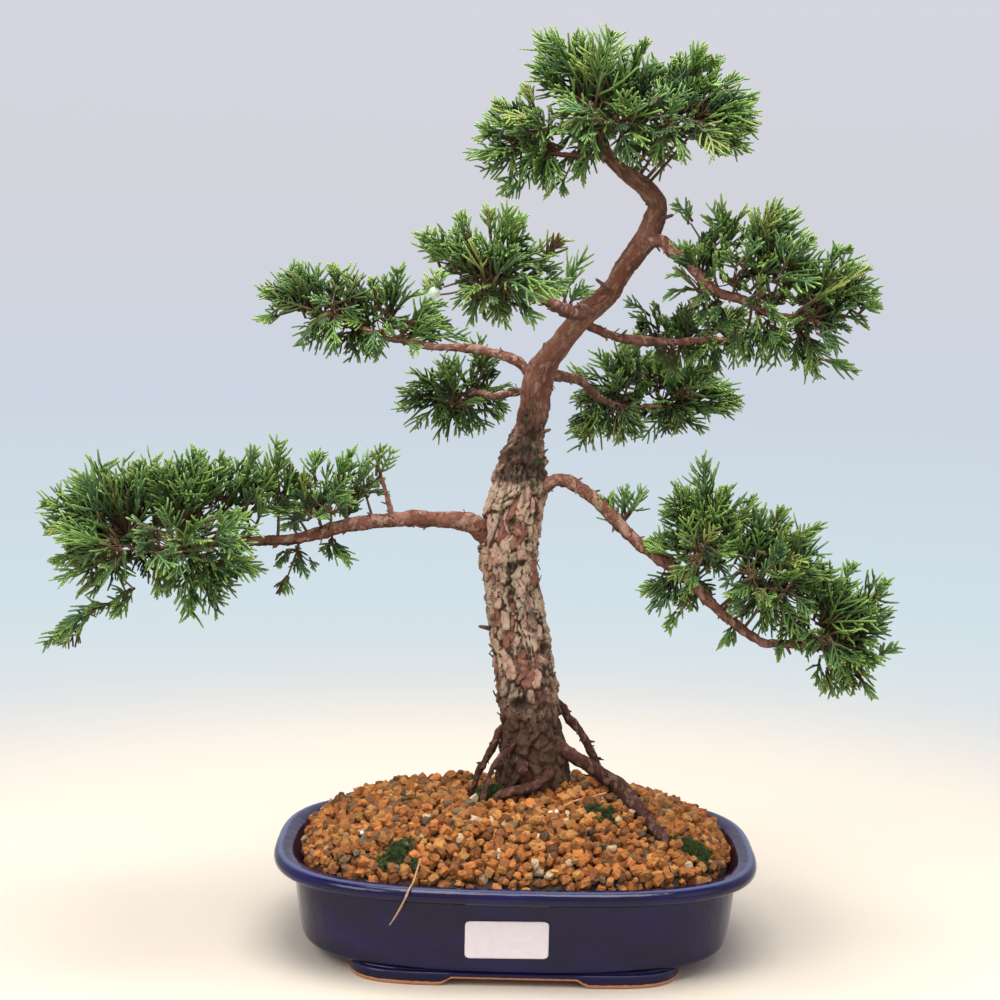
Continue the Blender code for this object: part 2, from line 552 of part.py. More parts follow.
def tube(track, sides, swell=0.0, lump=0.0):
    """Closed round tube along the track, with domed ends; swell widens and lengthens it."""
    rings = []
    tangents = []
    for k, (point, _) in enumerate(track):
        ahead = track[min(k + 1, len(track) - 1)][0]
        behind = track[max(k - 1, 0)][0]
        tangents.append((ahead - behind).normalized())
    side = tangents[0].orthogonal().normalized()
    for (point, radius), tangent in zip(track, tangents):
        side = (side - tangent * side.dot(tangent)).normalized()
        across = tangent.cross(side)
        ring = []
        for k in range(sides):
            turn = 2 * math.pi * k / sides
            ray = side * math.cos(turn) + across * math.sin(turn)
            rough = 1 + lump * noise.noise(point * 60 + ray * 1.3)
            ring.append(point + ray * (radius * rough + swell))
        rings.append(ring)
    start, finish = track[0], track[-1]
    first_tip = start[0] - tangents[0] * (0.35 * start[1] + swell)
    last_tip = finish[0] + tangents[-1] * (0.6 * finish[1] + swell)
    return loft(rings, first_tip, last_tip)


TRUNK_SIDES, LIMB_SIDES = 12, 8
TRUNK_SPACING, LIMB_SPACING, ROOT_SPACING = 0.012, 0.011, 0.007
TRUNK_LUMP, ROOT_LUMP = 0.10, 0.12
SEARCH_STEPS = 40


def trunk_shape(swell=0.0):
    return tube(stations(TRUNK, TRUNK_SPACING), TRUNK_SIDES, swell, TRUNK_LUMP)


def clear_track(track, obstacle, lump=0.0, gap=CLEARANCE):
    """The part of a track whose tube stays clear of the obstacle by the gap, up to its far end."""
    def ring_is_clear(k, pull):
        (point, radius), (ahead, ahead_radius) = track[k], track[k + 1]
        middle = point.lerp(ahead, pull)
        size = (radius * (1 - pull) + ahead_radius * pull) * (1 + lump)
        tangent = (ahead - point).normalized()
        side = tangent.orthogonal().normalized()
        across = tangent.cross(side)
        probes = [middle, middle - tangent * 0.4 * size]
        probes += [middle + (side * math.cos(a) + across * math.sin(a)) * size
                   for a in (2 * math.pi * j / 24 for j in range(24))]
        for probe in probes:
            near, normal, _, distance = obstacle.find_nearest(probe)
            if distance < gap or (probe - near).dot(normal) < 0:
                return False
        return True

    last_touch = (0, 0.0)
    for k in range(len(track) - 1):
        for step in range(SEARCH_STEPS):
            if not ring_is_clear(k, step / SEARCH_STEPS):
                last_touch = (k, (step + 1) / SEARCH_STEPS)
    k, pull = last_touch
    if last_touch == (0, 0.0):
        return track
    point, radius = track[k]
    ahead, ahead_radius = track[k + 1]
    start = (point.lerp(ahead, pull), radius * (1 - pull) + ahead_radius * pull)
    rest = track[k + 1:]
    if (rest[0][0] - start[0]).length < 0.35 * LIMB_SPACING and len(rest) > 1:
        rest = rest[1:]
    return [start] + rest


def surface_of(shape):
    """Search tree over a shape's triangles, all facing outward."""
    points, faces = shape
    body = bmesh.new()
    made = [body.verts.new(p) for p in points]
    for face in faces:
        body.faces.new([made[i] for i in face])
    bmesh.ops.recalc_face_normals(body, faces=body.faces)
    bmesh.ops.triangulate(body, faces=body.faces)
    found = BVHTree.FromBMesh(body)
    body.free()
    return found


def make_wood():
    """Trunk, limbs, bare twig and roots; returns each one's track for cutting clearances."""
    trunk = trunk_shape()
    make_object("trunk", *trunk, BARK_GREY)
    bark = surface_of(trunk)
    tracks = {}
    for name, route in LIMBS.items():
        tracks[name] = clear_track(stations(route, LIMB_SPACING), bark)
        make_object(name, *tube(tracks[name], LIMB_SIDES), BARK_RED)
    for name, route in ROOTS.items():
        tracks[name] = clear_track(stations(route, ROOT_SPACING, root_place), bark, ROOT_LUMP)
        make_object(name, *tube(tracks[name], LIMB_SIDES, lump=ROOT_LUMP), ROOT_BARK)
    limb_bark = surface_of(tube(tracks["limb_lower_left"], LIMB_SIDES))
    tracks["twig_bare"] = clear_track(stations(LIMB_TWIG, ROOT_SPACING), limb_bark)
    make_object("twig_bare", *tube(tracks["twig_bare"], 6), BARK_RED)
    return tracks


# ---------------------------------------------------------------- foliage
PAD_SIDES, PAD_BANDS = 16, 10


def pad_radius(direction, half_sizes, seed):
    """Distance from a pad's middle to its lumpy ellipsoid surface along a direction."""
    spread = math.sqrt(sum((direction[axis] / half_sizes[axis]) ** 2 for axis in range(3)))
    lumps = 1 + 0.14 * noise.noise(direction * 2.1 + Vector((seed, 0, 0)))
    lumps += 0.06 * noise.noise(direction * 5.0 + Vector((0, seed, 0)))
    return lumps / spread


def pad_frame(name):
    """A pad's middle, half sizes and seed number."""
    middle, sizes, _ = PADS[name]
    centre = tree_place(*middle)
    half = [size * FOLIAGE_FULLNESS * factor
            for size, factor in zip(sizes, (TREE_SPREAD, TREE_SPREAD, TREE_STRETCH))]
    return centre, half, 1.7 * list(PADS).index(name)


def make_foliage(tracks):
    """One lumpy closed pad at each place, flattened where it meets its neighbours."""
    walls = {name: [] for name in PADS}
    for first, second in PAD_NEIGHBOURS:
        a, a_half, _ = pad_frame(first)
        b, b_half, _ = pad_frame(second)
        line = b - a
        along = line.normalized()
        reach_a = 1 / math.sqrt(sum((along[i] / a_half[i]) ** 2 for i in range(3)))
        reach_b = 1 / math.sqrt(sum((along[i] / b_half[i]) ** 2 for i in range(3)))
        divide = line.length * reach_a / (reach_a + reach_b)
        walls[first].append((along, divide - PAD_GAP / 2))
        walls[second].append((-along, line.length - divide - PAD_GAP / 2))
    trunk_cutter = None
    for name, (_, _, wood) in PADS.items():
        centre, half, seed = pad_frame(name)

        def on_pad(direction):
            reach = pad_radius(direction, half, seed)
            for normal, distance in walls[name]:
                facing = direction.dot(normal)
                if facing > 0:
                    reach = min(reach, distance / facing)
            return centre + direction * reach

        rings = []
        for level in range(1, PAD_BANDS):
            rise = math.pi * level / PAD_BANDS
            rings.append([on_pad(Vector((math.sin(rise) * math.cos(turn), math.sin(rise) * math.sin(turn),
                                         -math.cos(rise))))
                          for turn in (2 * math.pi * k / PAD_SIDES for k in range(PAD_SIDES))])
        shape = loft(rings, on_pad(Vector((0, 0, -1))), on_pad(Vector((0, 0, 1))))
        pad = make_object(name, *shape, LEAF_GREEN)
        for branch in wood:
            if branch == "trunk":
                if trunk_cutter is None:
                    trunk_cutter = make_object("cut_pad_trunk", *trunk_shape(CLEARANCE))
                cut(pad, trunk_cutter)
            else:
                cutter_name = "cut_pad_" + branch
                cutter = bpy.data.objects.get(cutter_name)
                if cutter is None:
                    cutter = make_object(cutter_name, *tube(tracks[branch], LIMB_SIDES, CLEARANCE))
                cut(pad, cutter)


# ---------------------------------------------------------------- small pieces
def make_moss():
    """Low cushions of moss on the gravel, shaped to its surface with a gap."""
    for name, place in MOSS.items():
        x, y = bed_place(*place)
        sides = 12
        rings = []
        lift = GRAVEL_BUMP + CLEARANCE
        for scale, rise in ((0.55, 0.0), (1.0, 0.0), (1.05, 0.35), (0.85, 0.75), (0.45, 1.0)):
            ring = []
            for k in range(sides):
                turn = 2 * math.pi * k / sides
                ragged = 1 + 0.18 * noise.noise(Vector((math.cos(turn), math.sin(turn), x * 90)))
                edge = MOSS_REACH * scale * ragged
                px, py = x + edge * math.cos(turn), y + 0.7 * edge * math.sin(turn)
                ring.append((px, py, mound_height(px, py) + lift + rise * MOSS_HEIGHT))
            rings.append(ring)
        base = mound_height(x, y) + lift
        points, faces = loft(rings, (x, y, base), (x, y, base + 1.05 * MOSS_HEIGHT))
        make_object(name, points, faces, MOSS_GREEN)


def make_label():
    """Blank sticker that follows the front wall of the pot."""
    half_width, half_height = LABEL_WIDTH / 2, LABEL_HEIGHT / 2
    rim = []
    for quarter in range(4):
        cx = (half_width - LABEL_CORNER) * (1 if quarter in (0, 3) else -1)
        cz = (half_height - LABEL_CORNER) * (1 if quarter in (0, 1) else -1)
        for step in range(4):
            turn = math.pi / 2 * (quarter + step / 3)
            rim.append((cx + LABEL_CORNER * math.cos(turn), cz + LABEL_CORNER * math.sin(turn)))

    def on_wall(across, up, stand_off):
        x, z = LABEL_PLACE[0] + across, LABEL_PLACE[1] + up
        return (x, front_y(x, wall_inset(z) - stand_off), z)

    rings = []
    for scale, stand_off in ((0.5, CLEARANCE), (1.0, CLEARANCE),
                             (1.0, CLEARANCE + LABEL_THICKNESS), (0.5, CLEARANCE + LABEL_THICKNESS)):
        rings.append([on_wall(a * scale, b * scale, stand_off) for a, b in rim])
    points, faces = loft(rings, on_wall(0, 0, CLEARANCE), on_wall(0, 0, CLEARANCE + LABEL_THICKNESS))
    make_object("label_blank", points, faces, LABEL_WHITE)


def make_litter():
    """A dry stem on the gravel and a dry needle hanging over the lip."""
    def on_gravel(x, y, radius):
        return Vector((x, y, mound_height(x, y) + GRAVEL_BUMP + CLEARANCE + radius))

    stem = []
    start, end = bed_place(*STEM_START), bed_place(*STEM_END)
    for k in range(STEM_STEPS + 1):
        t = k / STEM_STEPS
        x = start[0] * (1 - t) + end[0] * t
        y = start[1] * (1 - t) + end[1] * t
        stem.append((on_gravel(x, y, STEM_RADIUS) + Vector((0, 0, STEM_LIFT * t)), STEM_RADIUS))
    make_object("dry_stem", *tube(stem, 6), STEM_COPPER)

    off = CLEARANCE + NEEDLE_RADIUS
    over = POT_HEIGHT + off
    bend = []
    lies = on_gravel(NEEDLE_X, front_y(NEEDLE_X, BED_INSET + 0.006), 0.0016).z
    route = ((0.004, BED_INSET + 0.006, lies), (0.002, LIP_WIDTH, over + 0.001),
             (0.001, LIP_OVERHANG * 0.38, over), (0.0, 0.0, over - 0.0003),
             (-0.001, -0.0005 - off, POT_HEIGHT - 0.0025),
             (-0.003, -0.0008 - off, POT_HEIGHT - 0.007),
             (-0.006, -0.0006 - off, POT_HEIGHT - 0.013),
             (-0.009, -0.0002 - off, POT_HEIGHT - 0.018))
    for dx, inset, z in route:
        x = NEEDLE_X + dx
        bend.append((Vector((x, front_y(x, inset), z)), NEEDLE_RADIUS))
    make_object("dry_needle", *tube(bend, 6), STEM_COPPER)


def make_berry():
    """One pale berry standing on the front of the front tuft."""
    centre, half, seed = pad_frame("foliage_front_tuft")
    direction = Vector((-0.62, -0.74, -0.26)).normalized()
    middle = centre + direction * (pad_radius(direction, half, seed) + BERRY_RADIUS + 2 * PAD_GAP)
    ball = bmesh.new()
    bmesh.ops.create_icosphere(ball, subdivisions=2, radius=BERRY_RADIUS)
    points = [middle + v.co for v in ball.verts]
    faces = [tuple(v.index for v in f.verts) for f in ball.faces]
    ball.free()
    make_object("berry", points, faces, BERRY_PALE)


# ---------------------------------------------------------------- assembly
def cut_wood_from_bed(tracks, soil, gravel):
    """Make room in soil and gravel for the trunk's foot and for each root."""
    cutters = [make_object("cut_bed_trunk", *trunk_shape(CLEARANCE))]
    for name in ROOTS:
        shape = tube(tracks[name], LIMB_SIDES, CLEARANCE, ROOT_LUMP)
        cutters.append(make_object("cut_bed_" + name, *shape))
    for cutter in cutters:
        cut(soil, cutter)
        cut(gravel, cutter)


def stand_on_origin():
    """Hang everything from one empty, placed so that the box's bottom middle is the origin."""
    corners = [v.co for thing in nodes.values() for v in thing.data.vertices]
    low = [min(p[axis] for p in corners) for axis in range(3)]
    high = [max(p[axis] for p in corners) for axis in range(3)]
    frame = bpy.data.objects.new("bonsai_frame", None)
    bpy.context.collection.objects.link(frame)
    frame.location = (-(low[0] + high[0]) / 2, -(low[1] + high[1]) / 2, -low[2])
    for thing in list(bpy.data.objects):
        if thing is not frame:
            thing.parent = frame
    bpy.context.view_layer.update()


def main():
    clear_scene()
    make_pot()
    make_drain_screens()
    soil = make_soil()
    gravel = make_gravel()
    tracks = make_wood()
    cut_wood_from_bed(tracks, soil, gravel)
    make_foliage(tracks)
    make_moss()
    make_label()
    make_litter()
    make_berry()
    stand_on_origin()


main()
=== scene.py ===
"""Looks of a juniper bonsai in a shallow glazed pot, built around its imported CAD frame.

Sizes are in metres, +Z up; only the routes of the wood and the places of the foliage are tabled in
millimetres. The design is drawn in the pot's own frame, with the middle of the pot's footprint at the
origin and the feet at z = 0; heights on the tree are counted from the top of the lip.
The Bench at the start moves every finished piece from there into the frame of the CAD parts.
"""
import logging
import math
from dataclasses import dataclass, field
from enum import Enum

import bpy
import numpy as np
from mathutils import Matrix, Vector


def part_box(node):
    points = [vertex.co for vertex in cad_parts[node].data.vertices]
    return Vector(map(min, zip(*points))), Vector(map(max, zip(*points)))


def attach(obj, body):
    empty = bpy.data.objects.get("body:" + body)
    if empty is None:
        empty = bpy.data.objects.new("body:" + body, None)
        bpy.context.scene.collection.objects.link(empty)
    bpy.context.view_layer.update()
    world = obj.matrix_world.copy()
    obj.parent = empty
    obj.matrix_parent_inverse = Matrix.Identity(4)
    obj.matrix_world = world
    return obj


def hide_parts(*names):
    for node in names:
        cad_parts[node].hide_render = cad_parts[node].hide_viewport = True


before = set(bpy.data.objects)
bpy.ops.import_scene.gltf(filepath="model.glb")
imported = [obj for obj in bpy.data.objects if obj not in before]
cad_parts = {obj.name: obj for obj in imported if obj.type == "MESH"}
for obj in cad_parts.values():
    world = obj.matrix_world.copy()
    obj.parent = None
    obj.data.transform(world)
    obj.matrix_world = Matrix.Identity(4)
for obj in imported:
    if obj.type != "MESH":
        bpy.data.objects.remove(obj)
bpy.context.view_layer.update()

MM = 1000            # millimetres in a metre
Array = np.ndarray
Route = list[tuple[float, float, float, float]]
log = logging.getLogger("bonsai")


# ---------------------------------------------------------------- numbers and shapes
def scatter(cell: Array, seed: int = 0) -> Array:
    """Repeatable numbers between 0 and 1 for whole-numbered cells.

    Args:
        cell: Cell numbers, three in the last axis.
        seed: Changes the whole set.
    Returns:
        One number a cell: the sine of a weighted sum, scaled up, with its whole part dropped.
    """
    mixed = np.sin(cell @ np.array([127.1, 311.7, 74.7]) + seed * 53.3) * 43758.5453
    return mixed - np.floor(mixed)


def cloud(points: Array, size: float | tuple[float, float, float], seed: int = 0) -> Array:
    """Soft noise between -1 and 1: random corner values of a lattice, blended by smooth steps.

    Args:
        points: Places, three numbers in the last axis.
        size: Lattice size, in metres, one for all axes or one each.
        seed: Changes the noise.
    Returns:
        The noise at each place.
    """
    grid = points / np.asarray(size)
    low = np.floor(grid)
    part = grid - low
    part = part * part * (3 - 2 * part)
    total = np.zeros(grid.shape[:-1])
    for corner in np.ndindex(2, 2, 2):
        weight = np.prod(np.where(corner, part, 1 - part), axis=-1)
        total += weight * scatter(low + corner, seed)
    return 2 * total - 1


def drift(points: Array, sizes: tuple[float, float, float], seed: int) -> Array:
    """Three noises between -1 and 1 as a shift of each point, one axis for each size."""
    return np.stack([cloud(points, size, seed + axis) for axis, size in enumerate(sizes)], axis=-1)


def cells(points: Array, size: tuple[float, float, float], seed: int = 0) -> tuple[Array, Array, Array]:
    """Split space into irregular cells, each around one jittered seat a lattice box.

    Args:
        points: Places, three numbers in the last axis.
        size: Lattice size on each axis, in metres.
        seed: Changes the cells.
    Returns:
        Distance to the cell's edge (0 there, in cell sizes), the cell's own random number, and how
        far above the cell's seat the place is.
    """
    grid = points / np.asarray(size)
    home = np.floor(grid)
    near = np.full(grid.shape[:-1], 9.0)
    second, pick, rise = near.copy(), np.zeros_like(near), np.zeros_like(near)
    for step in np.ndindex(3, 3, 3):
        cell = home + step - 1
        seat = cell + np.stack([scatter(cell, seed + axis) for axis in range(3)], axis=-1)
        gap = np.linalg.norm(grid - seat, axis=-1)
        closer = gap < near
        second = np.where(closer, near, np.minimum(second, gap))
        pick = np.where(closer, scatter(cell, seed + 7), pick)
        rise = np.where(closer, (grid - seat)[..., 2], rise)
        near = np.where(closer, gap, near)
    return second - near, pick, rise


def step_up(value: Array, low: float, high: float) -> Array:
    """Smooth step from 0 at low to 1 at high."""
    t = np.clip((value - low) / (high - low), 0, 1)
    return t * t * (3 - 2 * t)


def unit(vectors: Array) -> Array:
    """Vectors of length 1."""
    return vectors / np.maximum(np.linalg.norm(vectors, axis=-1, keepdims=True), 1e-12)


def grid_faces(rows: int, columns: int, closed: bool = True) -> Array:
    """Four-sided faces of a grid of points; with rows going up and columns going round, they face out.

    Args:
        rows: Number of rows.
        columns: Points in a row.
        closed: Whether each row joins its own start.
    Returns:
        Corner numbers, one face a row.
    """
    wide = columns if closed else columns - 1
    down, along = np.meshgrid(np.arange(rows - 1), np.arange(wide), indexing="ij")
    right = (along + 1) % columns
    return np.stack([down * columns + along, down * columns + right,
                     (down + 1) * columns + right, (down + 1) * columns + along], axis=-1).reshape(-1, 4)


def repeat(faces: Array, copies: int, size: int) -> Array:
    """Faces of one shape repeated for so many copies, each with size points of its own."""
    offset = (np.arange(copies) * size)[:, None, None]
    return (faces[None] + offset).reshape(-1, faces.shape[1])


@dataclass
class Shell:
    """Points, faces and per-point marks gathered for one piece."""

    points: list[Array] = field(default_factory=list)
    quads: list[Array] = field(default_factory=list)
    tris: list[Array] = field(default_factory=list)
    marks: dict[str, list[Array]] = field(default_factory=dict)
    count: int = 0

    def add(self, points: Array, quads: Array | None = None, tris: Array | None = None,
            **marks: Array) -> None:
        """Add a patch.

        Args:
            points: The patch's points.
            quads: Its four-sided faces, by point number in the patch.
            tris: Its three-sided faces.
            **marks: Three numbers a point, under the name that a finish reads.
        """
        flat = points.reshape(-1, 3)
        if quads is not None:
            self.quads.append(quads + self.count)
        if tris is not None:
            self.tris.append(tris + self.count)
        for name, values in marks.items():
            spread = np.broadcast_to(values, (*points.shape[:-1], 3)).reshape(-1, 3)
            self.marks.setdefault(name, []).append(spread)
        self.points.append(flat)
        self.count += len(flat)

    def add_tube(self, rings: Array, start: Array, finish: Array, **marks: Array) -> None:
        """Add a closed tube: rings joined by faces, with a fan to a point at each end.

        Args:
            rings: Points, by ring and then round it.
            start: Point that closes the first ring.
            finish: Point that closes the last ring.
            **marks: Marks of the rings' points; the end points take their ring's mean.
        """
        rows, columns = rings.shape[:2]
        first, last = rows * columns, rows * columns + 1
        around = np.arange(columns)
        after = (around + 1) % columns
        top = (rows - 1) * columns
        tris = np.concatenate([np.stack([np.full(columns, first), after, around], axis=-1),
                               np.stack([np.full(columns, last), top + around, top + after], axis=-1)])
        points = np.concatenate([rings.reshape(-1, 3), [start, finish]])
        closed = {}
        for name, values in marks.items():
            spread = np.broadcast_to(values, rings.shape)
            closed[name] = np.concatenate([spread.reshape(-1, 3), spread[[0, -1]].mean(axis=1)])
        self.add(points, grid_faces(rows, columns), tris, **closed)

    def piece(self, name: str, *, smooth: bool = True, weld: float = 0.0) -> bpy.types.Object:
        """Make the mesh object.

        Args:
            name: Name of the piece.
            smooth: Whether faces are shaded smooth.
            weld: Points closer than this are joined; 0 leaves them.
        Returns:
            The new object, in the frame of the CAD parts.
        """
        points = np.concatenate(self.points)
        quads = np.concatenate(self.quads) if self.quads else np.zeros((0, 4), int)
        tris = np.concatenate(self.tris) if self.tris else np.zeros((0, 3), int)
        if weld:
            keys = np.round(points / weld).astype(np.int64)
            _, kept, merged = np.unique(keys, axis=0, return_index=True, return_inverse=True)
            merged = merged.reshape(-1)
            points, quads, tris = points[kept], merged[quads], merged[tris]
            whole = (quads != np.roll(quads, 1, axis=1)).all(axis=1)
            quads = quads[whole]
            self.marks = {name: [np.concatenate(parts)[kept]] for name, parts in self.marks.items()}
        mesh = bpy.data.meshes.new(name)
        mesh.vertices.add(len(points))
        mesh.vertices.foreach_set("co", (points + BENCH.origin).ravel())
        corners = np.concatenate([quads.ravel(), tris.ravel()])
        mesh.loops.add(len(corners))
        mesh.loops.foreach_set("vertex_index", corners.astype(np.int32))
        starts = np.concatenate([np.arange(len(quads)) * 4, len(quads) * 4 + np.arange(len(tris)) * 3])
        mesh.polygons.add(len(starts))
        mesh.polygons.foreach_set("loop_start", starts.astype(np.int32))
        mesh.update(calc_edges=True)
        for mark, parts in self.marks.items():
            layer = mesh.attributes.new(mark, "FLOAT_VECTOR", "POINT")
            layer.data.foreach_set("vector", np.concatenate(parts).astype(np.float32).ravel())
        mesh.polygons.foreach_set("use_smooth", np.full(len(starts), smooth))
        thing = bpy.data.objects.new(name, mesh)
        bpy.context.scene.collection.objects.link(thing)
        return thing


@dataclass(frozen=True)
class Bench:
    """Where the pot stands in the frame of the CAD parts."""

    origin: Array

    @classmethod
    def at_pot(cls) -> "Bench":
        """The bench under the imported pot: the middle of its footprint, at its feet."""
        low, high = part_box("pot")
        return cls(np.array([(low.x + high.x) / 2, (low.y + high.y) / 2, low.z]))

    def hand_over(self, thing: bpy.types.Object, finish: "Finish", slot: str, *stands_for: str) -> None:
        """Dress a piece, hang it on the model's one body and hide the CAD nodes it stands for.

        Args:
            thing: The finished piece.
            finish: Its material.
            slot: Not used.
            *stands_for: CAD nodes that it replaces.
        """
        thing.data.materials.append(finish.surface)
        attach(thing, "root")
        if stands_for:
            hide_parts(*stands_for)
        log.info("%s: %d faces", thing.name, len(thing.data.polygons))


BENCH = Bench.at_pot()


# ---------------------------------------------------------------- paths
@dataclass
class Track:
    """A smooth path with a radius and a frame of directions at each station."""

    centre: Array
    radius: Array
    ahead: Array
    side: Array
    across: Array
    run: Array

    @classmethod
    def along(cls, route: Route, spacing: float, lift: float) -> "Track":
        """Lay a path through hand-picked points.

        Lay a path through listed points.
        the path leaves least, made square to the path at each station.

        Args:
            route: Points as (x, y, height, radius), in millimetres.
            spacing: Length of a step.
            lift: Added to every height.
        Returns:
            The path.
        """
        knots = np.array(route) / MM + [0, 0, lift, 0]
        before = np.concatenate([knots[:1], knots[:-2]])
        after = np.concatenate([knots[2:], knots[-1:]])
        t = np.linspace(0, 1, 24, endpoint=False)[None, :, None]
        here, there = knots[:-1, None], knots[1:, None]
        before, after = before[:, None], after[:, None]
        curve = 0.5 * (2 * here + (there - before) * t + (2 * before - 5 * here + 4 * there - after) * t**2
                       + (3 * here - before - 3 * there + after) * t**3)
        curve = np.concatenate([curve.reshape(-1, 4), knots[-1:]])
        run = np.concatenate([[0], np.cumsum(np.linalg.norm(np.diff(curve[:, :3], axis=0), axis=1))])
        steps = np.linspace(0, run[-1], max(3, int(run[-1] / spacing) + 1))
        centre = np.stack([np.interp(steps, run, curve[:, axis]) for axis in range(3)], axis=-1)
        ahead = unit(np.gradient(centre, axis=0))
        ahead = unit(np.stack([np.convolve(np.pad(ahead[:, axis], 4, mode="edge"), np.ones(9) / 9, "valid")
                               for axis in range(3)], axis=-1))
        least = np.linalg.eigh(ahead.T @ ahead)[1][:, 0]
        least = least * (1 if least[np.argmax(np.abs(least))] > 0 else -1)
        side = unit(least - ahead * (ahead @ least)[:, None])
        return cls(centre, np.interp(steps, run, curve[:, 3]), ahead, side, np.cross(ahead, side), steps)

    def rays(self, sides: int) -> Array:
        """Directions out from the path, by station and then round it, starting at the side direction."""
        turn = np.linspace(0, 2 * math.pi, sides, endpoint=False)[None, :, None]
        return self.side[:, None] * np.cos(turn) + self.across[:, None] * np.sin(turn)

    def nearest(self, place: Array) -> int:
        """Number of the station nearest to a place."""
        return int(np.argmin(np.linalg.norm(self.centre - place, axis=1)))


TIP_LENGTH = 1.6     # how far a cord's pointed tip stands out, in radii
BASE_DEPTH = 0.3     # how far its base point lies behind the first ring, in radii


def fronds(start: Array, bend: Array, finish: Array, thick: Array, thin: Array, sides: int, rings: int,
           rng: np.random.Generator) -> tuple[Array, Array, Array, Array]:
    """Many thin tapered cords at once, each along a three-point curve.

    A cord's middle line is (1-s)^2 start + 2s(1-s) bend + s^2 finish. Round it stand rings whose radius
    goes evenly from thick to thin, and a pointed tip closes the end.

    Args:
        start: Where each cord starts.
        bend: The point that pulls its middle.
        finish: Where it ends.
        thick: Radius at the start.
        thin: Radius near the tip.
        sides: Points round a ring.
        rings: Rings on a cord.
        rng: Source of each cord's turn.
    Returns:
        Points by cord; faces with four sides; faces with three sides; and the share of the way along
        for each point of one cord.
    """
    s = np.linspace(0, 1, rings)[None, :, None]
    centre = (1 - s) ** 2 * start[:, None] + 2 * s * (1 - s) * bend[:, None] + s**2 * finish[:, None]
    ahead = unit(2 * (1 - s) * (bend - start)[:, None] + 2 * s * (finish - bend)[:, None])
    loose = unit(rng.normal(size=(len(start), 3)))[:, None]
    side = unit(loose - ahead * (ahead * loose).sum(axis=-1, keepdims=True))
    across = np.cross(ahead, side)
    radius = (thick[:, None] * (1 - s[..., 0]) + thin[:, None] * s[..., 0])[..., None, None]
    turn = np.linspace(0, 2 * math.pi, sides, endpoint=False)[None, None, :, None]
    skin = centre[:, :, None] + radius * (side[:, :, None] * np.cos(turn) + across[:, :, None] * np.sin(turn))
    tip = finish + ahead[:, -1] * thin[:, None] * TIP_LENGTH
    base = start - ahead[:, 0] * thick[:, None] * BASE_DEPTH
    points = np.concatenate([skin.reshape(len(start), -1, 3), base[:, None], tip[:, None]], axis=1)
    around = np.arange(sides)
    after = (around + 1) % sides
    top = (rings - 1) * sides
    first = np.full(sides, rings * sides)
    caps = np.concatenate([np.stack([first, after, around], axis=-1),
                           np.stack([first + 1, top + around, top + after], axis=-1)])
    share = np.concatenate([np.repeat(s[0, :, 0], sides), [0, 1]])
    quads, tris = (repeat(faces, len(start), points.shape[1]) for faces in (grid_faces(rings, sides), caps))
    return points, quads, tris, share


# ---------------------------------------------------------------- shader maths
Colour = tuple[float, float, float]


def tint(code: str) -> Colour:
    """Linear colour of a six-digit screen colour such as "b49278"."""
    screen = np.array([int(code[k:k + 2], 16) for k in (0, 2, 4)]) / 255
    linear = np.where(screen <= 0.04045, screen / 12.92, ((screen + 0.055) / 1.055) ** 2.4)
    return tuple(float(part) for part in linear)


class Value:
    """A number that varies over a surface: one output socket, with arithmetic that adds Math nodes."""

    def __init__(self, nodes: "Nodes", socket: bpy.types.NodeSocket) -> None:
        """Wrap a socket of a material's nodes."""
        self.nodes, self.socket = nodes, socket

    def __add__(self, other: "Value | float") -> "Value":
        """Sum."""
        return self.nodes.maths("ADD", self, other)

    def __sub__(self, other: "Value | float") -> "Value":
        """Difference."""
        return self.nodes.maths("SUBTRACT", self, other)

    def __rsub__(self, other: float) -> "Value":
        """A number less this value."""
        return self.nodes.maths("SUBTRACT", other, self)

    def __mul__(self, other: "Value | float") -> "Value":
        """Product."""
        return self.nodes.maths("MULTIPLY", self, other)

    __radd__, __rmul__ = __add__, __mul__

    def step(self, low: float, high: float) -> "Value":
        """Smooth step from 0 at low to 1 at high."""
        made = self.nodes.node("ShaderNodeMapRange", {"interpolation_type": "SMOOTHSTEP"},
                               {"Value": self, "From Min": low, "From Max": high})
        return Value(self.nodes, made.outputs["Result"])


